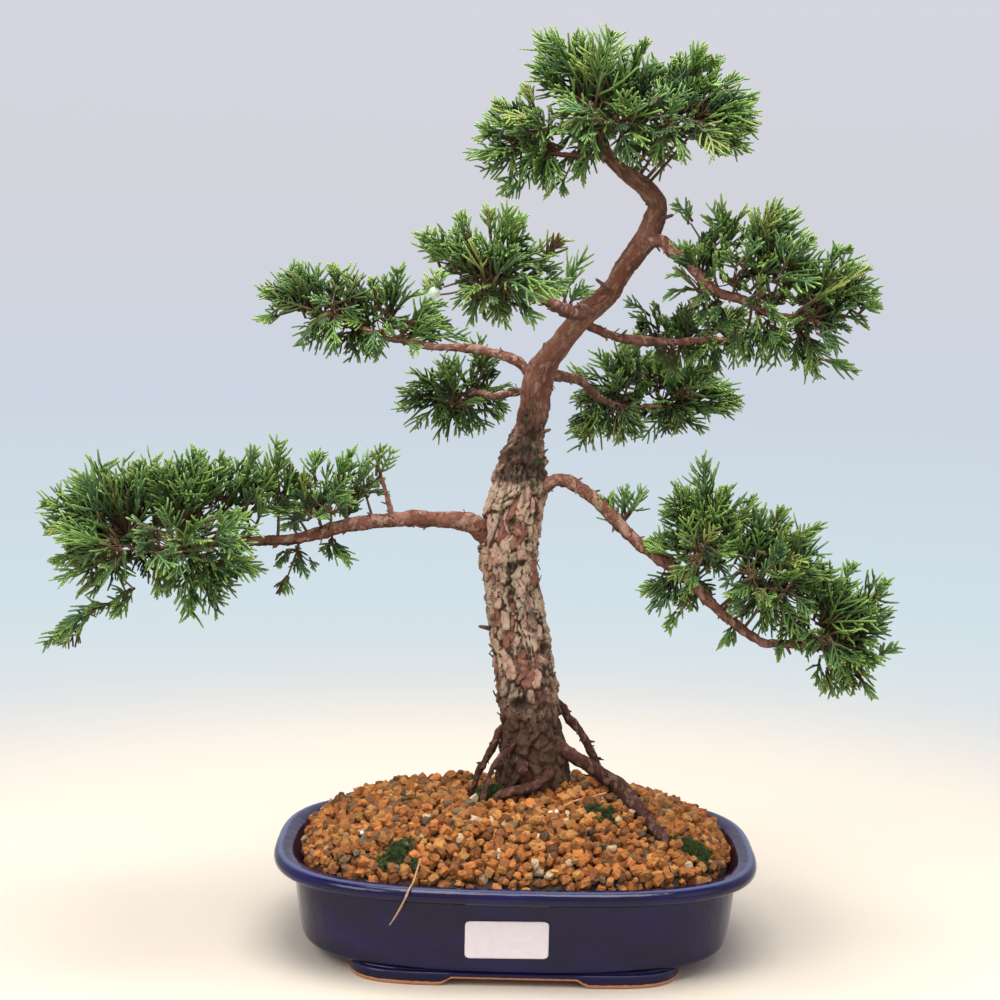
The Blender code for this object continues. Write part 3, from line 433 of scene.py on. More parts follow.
class Nodes:
    """The nodes of one material, round its Principled shader."""

    def __init__(self, name: str) -> None:
        """Start a material of that name."""
        self.material = bpy.data.materials.new(name)
        self.material.use_nodes = True
        self.tree = self.material.node_tree
        self.shader = self.tree.nodes["Principled BSDF"]

    def put(self, socket: bpy.types.NodeSocket, value: object) -> None:
        """Link or set one input socket.

        Args:
            socket: The input.
            value: A Value, a socket, a number or a colour.
        """
        source = value.socket if isinstance(value, Value) else value
        if isinstance(source, bpy.types.NodeSocket):
            self.tree.links.new(source, socket)
        elif isinstance(source, tuple) and len(source) == 3 and len(socket.default_value) == 4:
            socket.default_value = (*source, 1.0)
        else:
            socket.default_value = source

    def node(self, kind: str, settings: dict[str, object] | None = None,
             inputs: dict[str | int, object] | None = None) -> bpy.types.Node:
        """Add a node.

        Args:
            kind: Its type.
            settings: Its own settings, set first.
            inputs: Values or links of its input sockets.
        Returns:
            The node.
        """
        made = self.tree.nodes.new(kind)
        for key, value in (settings or {}).items():
            setattr(made, key, value)
        for key, value in (inputs or {}).items():
            self.put(made.inputs[key], value)
        return made

    def maths(self, operation: str, first: "Value | float", second: "Value | float" = 0.0) -> Value:
        """One Math node."""
        made = self.node("ShaderNodeMath", {"operation": operation}, {0: first, 1: second})
        return Value(self, made.outputs[0])

    def mark(self, name: str) -> tuple[Value, Value, Value]:
        """The three numbers of a per-point mark."""
        source = self.node("ShaderNodeAttribute", {"attribute_name": name})
        split = self.node("ShaderNodeSeparateXYZ", None, {0: source.outputs["Vector"]})
        return tuple(Value(self, output) for output in split.outputs)

    def height(self) -> Value:
        """Height in the frame of the CAD parts."""
        place = self.node("ShaderNodeTexCoord")
        split = self.node("ShaderNodeSeparateXYZ", None, {0: place.outputs["Object"]})
        return Value(self, split.outputs["Z"])

    def noise(self, size: float, detail: float = 2.0, stretch: Colour = (1.0, 1.0, 1.0)) -> Value:
        """Soft noise, 0 to 1.

        Args:
            size: Size of its patches, in metres.
            detail: Number of finer layers.
            stretch: How much longer the patches are on each axis.
        Returns:
            The noise.
        """
        place = self.node("ShaderNodeTexCoord")
        scale = tuple(1 / (size * part) for part in stretch)
        mapped = self.node("ShaderNodeMapping", None, {"Vector": place.outputs["Object"], "Scale": scale})
        made = self.node("ShaderNodeTexNoise", None,
                         {"Vector": mapped.outputs[0], "Scale": 1.0, "Detail": detail, "Roughness": 0.6})
        return Value(self, made.outputs[0])

    def specks(self, size: float) -> Value:
        """Distance to the nearest of scattered seats, in patch sizes."""
        place = self.node("ShaderNodeTexCoord")
        made = self.node("ShaderNodeTexVoronoi", None, {"Vector": place.outputs["Object"], "Scale": 1 / size})
        return Value(self, made.outputs["Distance"])

    def mix(self, share: "Value | float", first: object, second: object) -> bpy.types.NodeSocket:
        """Blend two colours by a share from 0 to 1."""
        made = self.node("ShaderNodeMix", {"data_type": "RGBA"}, {0: share, 6: first, 7: second})
        return made.outputs[2]

    def shift(self, colour: object, light: "Value | float") -> bpy.types.NodeSocket:
        """Brighten or darken a colour by a factor near 1."""
        made = self.node("ShaderNodeHueSaturation", None, {"Color": colour, "Value": light})
        return made.outputs[0]

    def bump(self, height: Value, depth: float,
             under: bpy.types.NodeSocket | None = None) -> bpy.types.NodeSocket:
        """Normal from a relief of the given depth in metres, over another relief if there is one."""
        inputs = {"Height": height, "Distance": depth, "Strength": 1.0}
        if under is not None:
            inputs["Normal"] = under
        return self.node("ShaderNodeBump", None, inputs).outputs[0]

    def finish(self, **inputs: object) -> bpy.types.Material:
        """Feed the shader; input names are written with underscores for spaces.

        Args:
            **inputs: Values of the Principled shader's inputs.
        Returns:
            The material.
        """
        for key, value in inputs.items():
            self.put(self.shader.inputs[key.replace("_", " ")], value)
        return self.material


@dataclass(frozen=True)
class Finish:
    """A named material, made once and shared by its pieces."""

    name: str

    @property
    def surface(self) -> bpy.types.Material:
        """The material."""
        return bpy.data.materials.get(self.name) or self.build(Nodes(self.name))

    def build(self, nodes: Nodes) -> bpy.types.Material:
        """Build the material's nodes."""
        raise NotImplementedError


@dataclass(frozen=True)
class Bark(Finish):
    """Bark by its marks: (crack, plate's own number, moss) and (shed plate, smooth upper bark, dark: darker
    bark plus painted shade on branch undersides and in the trunk's holes).
    """

    plate: Colour = tint("bd9680")
    pale: Colour = tint("ad9a82")
    under: Colour = tint("80503f")
    smooth: Colour = tint("613a2c")
    rosy: Colour = tint("74503f")
    crack: Colour = tint("38261a")
    moss: Colour = tint("2c3312")
    flake: Colour = tint("8d705c")

    def build(self, nodes: Nodes) -> bpy.types.Material:
        """Plates in two tones over red under-bark, dark cracks and mossy patches, all with fine fibre; the
        dark mark brings darker bark and painted shade.
        """
        crack, pick, moss = nodes.mark("bark")
        shed, smooth, dark = nodes.mark("skin")
        fibre = nodes.noise(0.0011, 4, (1, 1, 6))
        cloudy = nodes.noise(0.010, 4, (1, 1, 2))
        fine = nodes.noise(0.0030, 5)
        low = 1 - nodes.height().step(LIP + 0.030, LIP + 0.110)
        plates = nodes.mix((pick * 0.5 + cloudy * 1.3 - 0.4).step(0.2, 0.8), self.plate, self.pale)
        plates = nodes.mix(fine.step(0.50, 0.72) * 0.45, plates, tint("7d7a55"))
        plates = nodes.mix(fibre.step(0.50, 0.66) * 0.40, plates, tint("6b4c3a"))
        bared = (shed * 1.0 + cloudy.step(0.56, 0.70) * 0.5 + fine * 0.3 - 0.2).step(0.3, 0.9)
        plates = nodes.mix(bared * 0.85, plates, self.under)
        plates = nodes.mix((low * 1.2 + fine * 0.5 - 0.2).step(0.1, 0.85) * 0.93, plates, tint("422a1b"))
        limb = nodes.mix(cloudy.step(0.45, 0.68), self.smooth, self.rosy)
        limb = nodes.mix((pick * 0.45 + fine * 0.75).step(0.60, 0.78) * 0.55, limb, self.flake)
        colour = nodes.mix(smooth, plates, limb)
        colour = nodes.shift(colour, 0.55 + fibre * 0.55 + fine * 0.35)
        colour = nodes.mix((crack * 1.15 + fine * 0.6 - 0.3).step(0.15, 0.85) * 0.95, colour, self.crack)
        # dark mark: darker bark, and painted shade on limb and root undersides and inside the trunk's holes
        colour = nodes.mix((dark * 1.2 + fine * 0.7 - 0.35).step(0.0, 0.9) * 0.9, colour, tint("2b1c13"))
        colour = nodes.mix((moss * 0.8 + fine * 0.9 - 0.15).step(0.60, 0.95) * 0.8, colour, self.moss)
        relief = nodes.bump(fibre, 0.0006)
        relief = nodes.bump(fine, 0.0010, relief)
        return nodes.finish(Base_Color=colour, Roughness=0.70 + fine * 0.25, Normal=relief,
                            Specular_IOR_Level=0.25)


@dataclass(frozen=True)
class Leaf(Finish):
    """Scale leaves on cords, by marks: (way along in scales, side, fresh) and (tone, wood, painted shade)."""

    # deep: the dark green of the painted shade inside the tufts
    deep: Colour = tint("1c2f14")
    mid: Colour = tint("64883c")
    bluish: Colour = tint("54794a")
    fresh: Colour = tint("93b055")
    olive: Colour = tint("8f9148")
    wood: Colour = tint("4d3a20")

    def build(self, nodes: Nodes) -> bpy.types.Material:
        """Green by tone, lighter to the tips, brown where woody, with rows of overlapping scales; painted
        shade darkens the inside of the tufts, the cords' bases and each scale's covered base.
        """
        along, side, fresh = nodes.mark("cord")
        tone, wood, shade = nodes.mark("tone")
        row = nodes.maths("FRACT", along + side.step(-0.3, 0.3) * 0.5)
        speckle = nodes.noise(0.0015, 2)
        colour = nodes.mix(tone.step(0.0, 0.5), self.bluish, self.mid)
        colour = nodes.mix(tone.step(0.82, 0.98) * 0.8, colour, self.olive)
        # painted shade: darker deep inside the tufts and towards the cords' bases
        colour = nodes.mix(shade, colour, self.deep)
        young = (fresh * 0.8 + row * 0.2 + speckle * 0.2 - 0.1).step(0.30, 1.0)
        colour = nodes.mix(young, colour, self.fresh)
        # painted shade on the scales: each scale darker at its overlapped base and lighter towards its free
        # end
        colour = nodes.shift(colour, 0.72 + row * 0.42 + speckle * 0.12)
        colour = nodes.mix(wood.step(0.3, 0.7), colour, nodes.shift(self.wood, 0.7 + speckle * 0.7))
        return nodes.finish(Base_Color=colour, Roughness=0.46 + row * 0.14, Normal=nodes.bump(row, 0.00035),
                            Specular_IOR_Level=0.4)


@dataclass(frozen=True)
class Glaze(Finish):
    """Deep blue glaze that thins at edges, by mark (thin at the crest plus a painted highlight along the foot
    ledge, thin inside, bare clay).
    """

    blue: Colour = tint("140b40")
    dark: Colour = tint("0e082c")
    thin: Colour = tint("56648c")
    inside: Colour = tint("3d1c2c")
    clay: Colour = tint("b87d56")

    def build(self, nodes: Nodes) -> bpy.types.Material:
        """Two blues in slow clouds, thin grey-blue on the crest and as a painted highlight along the foot
        ledge, red-purple inside, clay under the feet.
        """
        crest, inner, bare = nodes.mark("glaze")
        slow = nodes.noise(0.030, 3, (1, 1, 0.5))
        fine = nodes.noise(0.0025, 3)
        colour = nodes.mix(slow.step(0.35, 0.7), self.dark, self.blue)
        # the first glaze mark is the crest's thin glaze plus a painted highlight along the foot ledge
        colour = nodes.mix((crest + fine * 0.2 - 0.1).step(0.3, 1.0) * 0.55, colour, self.thin)
        colour = nodes.mix((inner + slow * 0.3 - 0.15).step(0.3, 0.9), colour, self.inside)
        spots = nodes.specks(0.009).step(0.10, 0.05)
        colour = nodes.mix(spots * 0.5, colour, tint("0d0c20"))
        bare = (bare + fine * 0.4 - 0.2).step(0.45, 0.6)
        colour = nodes.mix(bare, colour, nodes.shift(self.clay, 0.8 + fine * 0.4))
        relief = nodes.bump(nodes.noise(0.012, 2), 0.0005)
        relief = nodes.bump(fine * bare, 0.0002, relief)
        return nodes.finish(Base_Color=colour, Roughness=0.12 + fine * 0.07 + bare * 0.6, Normal=relief,
                            Specular_IOR_Level=0.30)


@dataclass(frozen=True)
class Grit(Finish):
    """Baked clay grains, by mark (kind of grain, light, dust)."""

    kinds: tuple[Colour, ...] = (tint("b9743a"), tint("b98348"), tint("9a6133"), tint("785235"),
                                 tint("70604a"), tint("d0b890"))

    def build(self, nodes: Nodes) -> bpy.types.Material:
        """Each grain one of six colours, blotched and pitted."""
        kind, light, dust = nodes.mark("grain")
        blotch = nodes.noise(0.0022, 3)
        pits = nodes.noise(0.0006, 3)
        colour = self.kinds[0]
        for share, paint in zip((0.36, 0.60, 0.80, 0.90, 0.96), self.kinds[1:]):
            colour = nodes.mix(kind.step(share - 0.01, share + 0.01), colour, paint)
        colour = nodes.mix(blotch.step(0.42, 0.70) * 0.5, colour, tint("7a4a2a"))
        colour = nodes.shift(colour, 0.30 + light * 0.55 + pits * 0.60)
        colour = nodes.mix(dust * 0.7, colour, tint("3a2a1c"))
        relief = nodes.bump(pits, 0.0004, nodes.bump(blotch, 0.0006))
        return nodes.finish(Base_Color=colour, Roughness=0.88 - pits * 0.1, Normal=relief,
                            Specular_IOR_Level=0.25)


@dataclass(frozen=True)
class Speckled(Finish):
    """A matt stuff of two tones in patches: soil, moss, bark dust, dry stems, berry skin or paper."""

    first: Colour = tint("2a1d13")
    second: Colour = tint("4a3320")
    size: float = 0.002
    rough: float = 0.9
    depth: float = 0.0008

    def build(self, nodes: Nodes) -> bpy.types.Material:
        """Two tones by noise, with a relief of the same noise and a finer one."""
        broad = nodes.noise(self.size, 3)
        fine = nodes.noise(self.size * 0.3, 3)
        colour = nodes.mix((broad * 0.7 + fine * 0.3).step(0.35, 0.65), self.first, self.second)
        relief = nodes.bump(fine, self.depth * 0.4, nodes.bump(broad, self.depth))
        return nodes.finish(Base_Color=colour, Roughness=self.rough - fine * 0.12, Normal=relief)


class Stuff(Enum):
    """The finishes of this object."""

    TRUNK = Bark("juniper_bark")
    LIMB = Bark("limb_bark_look", smooth=tint("6f4536"), rosy=tint("8c6152"), flake=tint("b0907b"))
    ROOT = Bark("root_bark_look", smooth=tint("43241c"), rosy=tint("5c3b30"), flake=tint("7d6654"))
    LEAF = Leaf("scale_leaves")
    GLAZE = Glaze("blue_glaze")
    GRIT = Grit("baked_grit")
    SOIL = Speckled("dark_soil_look")
    MOSS = Speckled("moss_look", tint("1c1d0e"), tint("4a6420"), 0.0024)
    PAPER = Speckled("label_paper", tint("ded5d9"), tint("e4dcdf"), 0.004, 0.42, 0.00005)
    PLASTIC = Speckled("screen_plastic_look", tint("17181a"), tint("202225"), 0.0009, 0.5, 0.0001)
    BERRY = Speckled("berry_skin", tint("9fb59a"), tint("c2cdb4"), 0.0012, 0.55, 0.0001)
    STEM = Speckled("dry_stem_look", tint("b5673f"), tint("d9946a"), 0.0012, 0.5, 0.0002)
    NEEDLE = Speckled("dry_needle", tint("8a6a4c"), tint("b6946c"), 0.0015, 0.6, 0.0002)
    PERLITE = Speckled("perlite", tint("dedad2"), tint("f7f5f0"), 0.0012, 0.8, 0.0006)


# ---------------------------------------------------------------- studio
@dataclass(frozen=True)
class Studio:
    """Backdrop of soft light, pale floor, lamps and camera."""

    # sine of the angle above the horizon, and the screen colour there
    sky: tuple[tuple[float, str], ...] = (
        (-0.363, "f5eadc"), (-0.327, "f3efe2"), (-0.281, "ecebe7"), (-0.233, "dfe6e9"),
        (-0.182, "d2e1e9"), (-0.082, "ccd6e2"), (0.019, "d3d3dc"), (0.111, "d5d6df"))
    sky_low: float = -0.40
    sky_high: float = 0.16
    floor: Colour = tint("d3c8b8")
    floor_radius: float = 0.75
    eye: tuple[float, float, float] = (-0.0122, -1.0, 0.3655)
    pitch: float = 0.1334
    roll: float = 0.0228
    lens: float = 70.66

    def build(self) -> None:
        """Set up everything round the object."""
        bpy.context.scene.view_settings.view_transform = "Standard"
        self.backdrop()
        self.ground()
        self.lamp("overhead", (0.05, -0.15, 1.15), (0.02, 0.0, 0.15), 0.80, 19.0, (1.0, 0.98, 0.95))
        self.lamp("key", (-0.85, -0.75, 1.00), (0.0, 0.0, 0.2), 0.6, 8.0, (1.0, 0.985, 0.96))
        self.lamp("fill", (1.1, -0.7, 0.6), (0.0, 0.0, 0.2), 0.8, 1.5, (0.96, 0.98, 1.0))
        self.camera()

    def backdrop(self) -> None:
        """World light whose colour depends on the angle above the horizon."""
        world = bpy.data.worlds.new("backdrop")
        bpy.context.scene.world = world
        world.use_nodes = True
        tree = world.node_tree
        place = tree.nodes.new("ShaderNodeTexCoord")
        split = tree.nodes.new("ShaderNodeSeparateXYZ")
        span = tree.nodes.new("ShaderNodeMapRange")
        span.inputs["From Min"].default_value = self.sky_low
        span.inputs["From Max"].default_value = self.sky_high
        ramp = tree.nodes.new("ShaderNodeValToRGB")
        tree.links.new(place.outputs["Generated"], split.inputs[0])
        tree.links.new(split.outputs["Z"], span.inputs["Value"])
        tree.links.new(span.outputs["Result"], ramp.inputs[0])
        tree.links.new(ramp.outputs[0], tree.nodes["Background"].inputs["Color"])
        stops = ramp.color_ramp.elements
        while len(stops) < len(self.sky):
            stops.new(0.5)
        for stop, (sine, code) in zip(stops, self.sky):
            stop.position = (sine - self.sky_low) / (self.sky_high - self.sky_low)
            stop.color = (*tint(code), 1.0)

    def ground(self) -> None:
        """Pale round floor that fades out into the backdrop."""
        nodes = Nodes("pale_floor")
        place = nodes.node("ShaderNodeTexCoord")
        middle = tuple(float(part) for part in BENCH.origin)
        apart = nodes.node("ShaderNodeVectorMath", {"operation": "DISTANCE"},
                           {0: place.outputs["Object"], 1: middle})
        solid = 1 - Value(nodes, apart.outputs["Value"]).step(0.24, self.floor_radius)
        paper = nodes.noise(0.002, 3)
        surface = nodes.finish(Base_Color=nodes.shift(self.floor, 0.98 + paper * 0.04), Roughness=0.6,
                               Alpha=solid, Specular_IOR_Level=0.3)
        turn = np.linspace(0, 2 * math.pi, 96, endpoint=False)
        rim = np.stack([np.cos(turn), np.sin(turn), np.zeros(96)], axis=-1) * self.floor_radius
        disc = Shell()
        disc.add(np.concatenate([rim, [[0, 0, 0]]]) - [0, 0, 0.0002],
                 tris=np.stack([np.arange(96), (np.arange(96) + 1) % 96, np.full(96, 96)], axis=-1))
        floor = disc.piece("floor", smooth=False)
        floor.data.materials.append(surface)

    def lamp(self, name: str, place: tuple[float, float, float], target: tuple[float, float, float],
             size: float, power: float, colour: Colour) -> None:
        """Square soft lamp aimed at a point.

        Args:
            name: Name of the lamp.
            place: Where it hangs, in the pot's frame.
            target: What it is aimed at.
            size: Side of the square.
            power: Watts.
            colour: Its colour.
        """
        light = bpy.data.lights.new(name, "AREA")
        light.shape, light.size, light.energy, light.color = "SQUARE", size, power, colour
        lamp = bpy.data.objects.new(name, light)
        lamp.location = BENCH.origin + place
        away = Vector(place) - Vector(target)
        lamp.rotation_euler = away.to_track_quat("Z", "Y").to_euler()
        bpy.context.scene.collection.objects.link(lamp)

    def camera(self) -> None:
        """Camera level with the lower crown, looking a little down and rolled by a hair."""
        ahead = Vector((0, math.cos(self.pitch), -math.sin(self.pitch)))
        up = Vector((0, math.sin(self.pitch), math.cos(self.pitch)))
        right = Vector((1, 0, 0))
        turned_right = right * math.cos(self.roll) + up * math.sin(self.roll)
        turned_up = up * math.cos(self.roll) - right * math.sin(self.roll)
        lens = bpy.data.cameras.new("camera")
        lens.lens, lens.sensor_width = self.lens, 36.0
        camera = bpy.data.objects.new("camera", lens)
        matrix = Matrix((turned_right, turned_up, -ahead)).transposed().to_4x4()
        matrix.translation = Vector(self.eye) + Vector(BENCH.origin)
        camera.matrix_world = matrix
        bpy.context.scene.collection.objects.link(camera)
        bpy.context.scene.camera = camera


# ---------------------------------------------------------------- pot and label
@dataclass(frozen=True)
class Pot:
    """Rounded-rectangle pot: rolled lip, tucked wall, foot band, recess, arches and two drain holes."""

    half_width: float = 0.125
    half_depth: float = 0.0885
    foot_power: float = 6.0
    foot_tuck: float = 0.0273
    height: float = 0.052
    foot_height: float = 0.0068
    throat: float = 0.0445
    floor_top: float = 0.0105
    recess_top: float = 0.004
    recess_inset: float = 0.0222
    arch_height: float = 0.0036
    arch_blend: float = 0.0008
    front_arch: float = 0.034
    side_arch: float = 0.022
    hole_radius: float = 0.008
    hole_place: float = 0.050
    sides: int = 384
    foot_rings: int = 9
    inside_rings: int = 18

    def outline(self, inset: Array | float, z: Array | float, tuck: Array | float = 0.0,
                power: Array | float = 3.0) -> Array:
        """Superellipse ring: |x/a|^n + |y/b|^n = 1, with the half sizes less the inset.

        Args:
            inset: How far inside the lip's edge, one a ring or a single one.
            z: Height of the ring.
            tuck: How much further in the two ends lie.
            power: The exponent n.
        Returns:
            Points of the rings.
        """
        turn = np.linspace(0, 2 * math.pi, self.sides, endpoint=False)
        c, s = np.cos(turn), np.sin(turn)
        inset, z, tuck, power = (np.asarray(part, float)[..., None] for part in (inset, z, tuck, power))
        x = (self.half_width - inset - tuck) * np.sign(c) * np.abs(c) ** (2 / power)
        y = (self.half_depth - inset) * np.sign(s) * np.abs(s) ** (2 / power)
        return np.stack([x, y, np.broadcast_to(z, x.shape)], axis=-1)

    def rise(self, z: Array) -> Array:
        """0 at the top of the foot, 1 at the throat under the lip."""
        return np.clip((z - self.foot_height) / (self.throat - self.foot_height), 0, 1)

    def wall_inset(self, z: Array) -> Array:
        """How far the outer wall lies inside the lip's edge at height z."""
        return 0.0115 - 0.0010 * self.rise(z)

    def inner_inset(self, z: Array) -> Array:
        """How far the inner wall lies inside the lip's edge at height z."""
        t = self.rise(z)
        return 0.0215 - 0.0070 * t**2.2 + 0.0030 * (1 - t) ** 8

    def end_tuck(self, z: Array) -> Array:
        """How much further in the outer wall lies at the two ends, at height z."""
        return 0.0035 * (1 - self.rise(z)) ** 2

    def arches(self, rings: Array) -> Array:
        """1 where an arch opens between two feet, 0 on the feet, with a short slope between them."""
        across, deep = np.abs(rings[..., 0]), np.abs(rings[..., 1])
        slope = 2 * self.arch_blend
        front = step_up(self.front_arch + self.arch_blend - across, 0, slope) * (deep > 0.04)
        side = step_up(self.side_arch + self.arch_blend - deep, 0, slope) * (across > 0.06)
        return np.maximum(front, side)

    def half_edge(self, ring: Array, sign: int) -> Array:
        """Outline of the left (-1) or right (1) half of a ring, closed by a seam across the middle."""
        quarter = self.sides // 4
        turned = np.roll(ring, quarter, axis=0) if sign > 0 else ring[quarter:]
        arc = turned[:2 * quarter + 1]
        return np.concatenate([arc, np.linspace(arc[-1], arc[0], 61)[1:-1]])

    def hole_edge(self, ring: Array, sign: int) -> tuple[Array, Array]:
        """Half outline of a ring, and the points of its drain hole that face the outline's points."""
        edge = self.half_edge(ring, sign)
        centre = np.array([sign * self.hole_place, 0, float(ring[0, 2])])
        return edge, centre + unit(edge - centre) * self.hole_radius

    def front(self, x: Array, inset: Array | float) -> Array:
        """Where the front of the outline, moved in by inset, lies at x."""
        share = 1 - np.abs(x / (self.half_width - inset)) ** 3
        return -(self.half_depth - inset) * share ** (1 / 3)

    def profile(self) -> Array:
        """Insets and heights from the foot's inner edge, up the outside, over the lip and down inside."""
        quarter = np.linspace(0, math.pi / 2, 12)
        round_z = self.foot_height + 0.0002 + 0.0030 * (1 - np.cos(quarter))
        bend = np.stack([self.wall_inset(round_z) + 0.0030 * (1 - np.sin(quarter)), round_z], axis=-1)
        wall_z = np.linspace(round_z[-1], self.throat, 18)[1:]
        wall = np.concatenate([bend, np.stack([self.wall_inset(wall_z), wall_z], axis=-1)])
        shelf = np.array([(0.0098, 0.0447), (0.0078, 0.0447), (0.0058, 0.0447)])
        turn = np.linspace(-0.46 * math.pi, 0.60 * math.pi, 22)
        roll = np.stack([0.0038 - 0.0038 * np.cos(turn), 0.0483 + 0.0037 * np.sin(turn)], axis=-1)
        crest = np.array([(0.0066, 0.0518), (0.0082, 0.0514), (0.0095, 0.0508), (0.0103, 0.0500),
                          (0.0106, 0.0490)])
        deep = np.linspace(self.throat, self.floor_top + 0.003, 14)
        inside = np.stack([self.inner_inset(deep), deep], axis=-1)
        heel = np.stack([self.inner_inset(np.full(4, self.floor_top)) + [0.0004, 0.0010, 0.0018, 0.0030],
                         self.floor_top + np.array([0.0018, 0.0009, 0.0003, 0.0])], axis=-1)
        foot = np.array([(0.0134, 0.0), (0.0131, 0.0002), (0.0130, 0.0010), (0.0127, 0.0030),
                         (0.0124, 0.0048), (0.0123, 0.0056), (0.0124, 0.0062), (0.0128, 0.0066),
                         (0.0134, 0.0068)])
        return np.concatenate([foot, wall, shelf, roll, crest, inside, heel])

    def plate(self, shell: Shell, ring: Array, up: bool) -> None:
        """Flat floor with the two drain holes: each half is a band from its outline to its hole.

        Args:
            shell: Where it goes.
            ring: The floor's outer edge.
            up: Whether it faces up.
        """
        share = np.linspace(0, 1, 9)[:, None, None]
        for sign in (-1, 1):
            edge, hole = self.hole_edge(ring, sign)
            faces = grid_faces(9, len(edge))
            shell.add(edge * (1 - share) + hole * share, faces if up else faces[:, ::-1],
                      glaze=(0.0, 1.0 if up else 0.0, 0.0 if up else 1.0))

    def build(self) -> None:
        """Make the pot and hand it over in place of its CAD solid."""
        shell = Shell()
        profile = self.profile()
        steps = np.arange(len(profile))
        lip_top = int(np.argmax(profile[:, 1]))
        on_foot = steps < self.foot_rings
        tuck = np.where(on_foot, self.foot_tuck, self.end_tuck(profile[:, 1]) * (steps < lip_top))
        rings = self.outline(profile[:, 0], profile[:, 1], tuck, np.where(on_foot, self.foot_power, 3.0))
        ramp = np.clip(rings[..., 2] / 0.0062, 0, 1)
        rings[..., 2] += self.arches(rings) * self.arch_height * on_foot[:, None] * (1 - ramp) ** 0.7
        flow = cloud(rings, (0.045, 0.045, 0.020), 4) * 0.00035
        outward = rings.copy()
        outward[..., 2] = 0
        outside = ~on_foot & (steps < len(profile) - self.inside_rings)
        rings += unit(outward) * (flow * outside[:, None])[..., None]
        crest = np.exp(-((steps - lip_top + 1) / 3.0) ** 2)
        # painted highlight: a thin band along the ledge above the foot band takes the thin grey-blue glaze
        # colour
        ledge = np.exp(-((profile[:, 1] - 0.0064) / 0.0006) ** 2) * (steps < 12)
        inner = step_up(steps.astype(float), lip_top + 3, lip_top + 8)
        bare = step_up(0.0018 - profile[:, 1], 0, 0.0010) * (steps < 12)
        glaze = np.stack([np.maximum(crest, ledge * 0.6), inner, bare], axis=-1)[:, None]
        shell.add(rings, grid_faces(len(rings), self.sides), glaze=glaze)
        self.plate(shell, rings[-1], True)
        under = self.outline([self.recess_inset, self.recess_inset, self.recess_inset - 0.0004, 0.0134],
                             [self.recess_top, 0.0004, 0.0, 0.0], self.foot_tuck, self.foot_power)
        under[1:, :, 2] += (self.arches(under) * (self.arch_height - 0.0004))[1:]
        under[3, :, 2] = rings[0, :, 2]
        shell.add(under, grid_faces(4, self.sides), glaze=(0.0, 0.0, 1.0))
        self.plate(shell, under[0], False)
        for sign in (-1, 1):
            wall = np.array([self.hole_edge(ring, sign)[1] for ring in (under[0], rings[-1])])
            shell.add(wall, grid_faces(2, wall.shape[1])[:, ::-1], glaze=(0.0, 0.0, 1.0))
        BENCH.hand_over(shell.piece("pot_body", weld=1e-6), Stuff.GLAZE.value, "glaze", "pot")


@dataclass(frozen=True)
class Label:
    """Blank paper sticker that follows the pot's front wall."""

    centre: tuple[float, float] = (-0.0040, 0.0249)
    width: float = 0.041
    height: float = 0.019
    corner: float = 0.0022
    thickness: float = 0.00018
    rows: int = 31
    columns: int = 49

    def build(self, pot: Pot) -> None:
        """Make the sticker: a grid of rows whose ends follow the rounded corners."""
        rows, columns = self.rows, self.columns
        v = np.linspace(-1, 1, rows)
        u = np.linspace(-1, 1, columns)
        short = np.maximum(np.abs(v) * self.height / 2 - (self.height / 2 - self.corner), 0)
        half = self.width / 2 - self.corner + np.sqrt(np.maximum(self.corner**2 - short**2, 0))
        x = self.centre[0] + half[:, None] * u[None]
        z = self.centre[1] + (v * self.height / 2)[:, None] + 0 * x + (x - self.centre[0]) * 0.012
        inset = pot.wall_inset(z) - 0.00040
        front = np.stack([x, pot.front(x, inset), z], axis=-1)
        curl = np.exp(-((np.abs(u)[None] - 1) / 0.08) ** 2) * 0.00012
        front[..., 1] -= self.thickness + curl
        back = front + [0, self.thickness, 0]
        shell = Shell()
        faces = grid_faces(rows, columns, closed=False)
        shell.add(front, faces)
        shell.add(back, faces[:, ::-1])
        grid = np.arange(rows * columns).reshape(rows, columns)
        edge = np.concatenate([grid[0], grid[1:, -1], grid[-1, -2::-1], grid[-2:0:-1, 0]])
        rim = np.stack([back.reshape(-1, 3)[edge], front.reshape(-1, 3)[edge]])
        shell.add(rim, grid_faces(2, len(edge)))
        BENCH.hand_over(shell.piece("label_sheet", weld=1e-7), Stuff.PAPER.value, "label", "label_blank")


# ---------------------------------------------------------------- wood
LIP = 0.052          # height of the pot's lip, where heights on the tree start

# Routes: points as (x, y, height above the lip, radius), in millimetres.
TRUNK: Route = [
    (10.5, 4, -12, 18), (10, 4, 0, 18), (9.5, 4, 16, 18.6), (9, 4, 30, 18), (8, 4, 48, 15.8),
    (6, 4, 66, 15), (3, 4, 84, 15.4), (0, 4, 104, 15.4), (-2, 4, 121, 13.4), (-5, 4, 139, 13.3),
    (-6.5, 3, 157, 13.6), (-5, 1, 171, 13.4), (-2, 0, 186, 12.6), (-1, 0, 199, 11.4), (1, 0, 211, 8.6),
    (4, 0, 224, 7.6), (5.5, 0, 237, 7.6), (9, 0, 249, 7), (17, 0, 260, 5.8), (24, 1, 270, 5.6),
    (31, 2, 278, 6), (41, 2, 286, 5.2), (48, 2, 299, 5.1), (58, 2, 313, 5.8), (62, 2, 322, 5.6),
    (63.5, 2, 331, 5.1), (58, 1, 339, 4.4), (51, 0, 344, 3.8), (44, 0, 349, 3.3), (38, 0, 355, 2.9),
    (35, 0, 363, 2.4), (32, 0, 376, 1.9), (30, 0, 390, 1.4)]
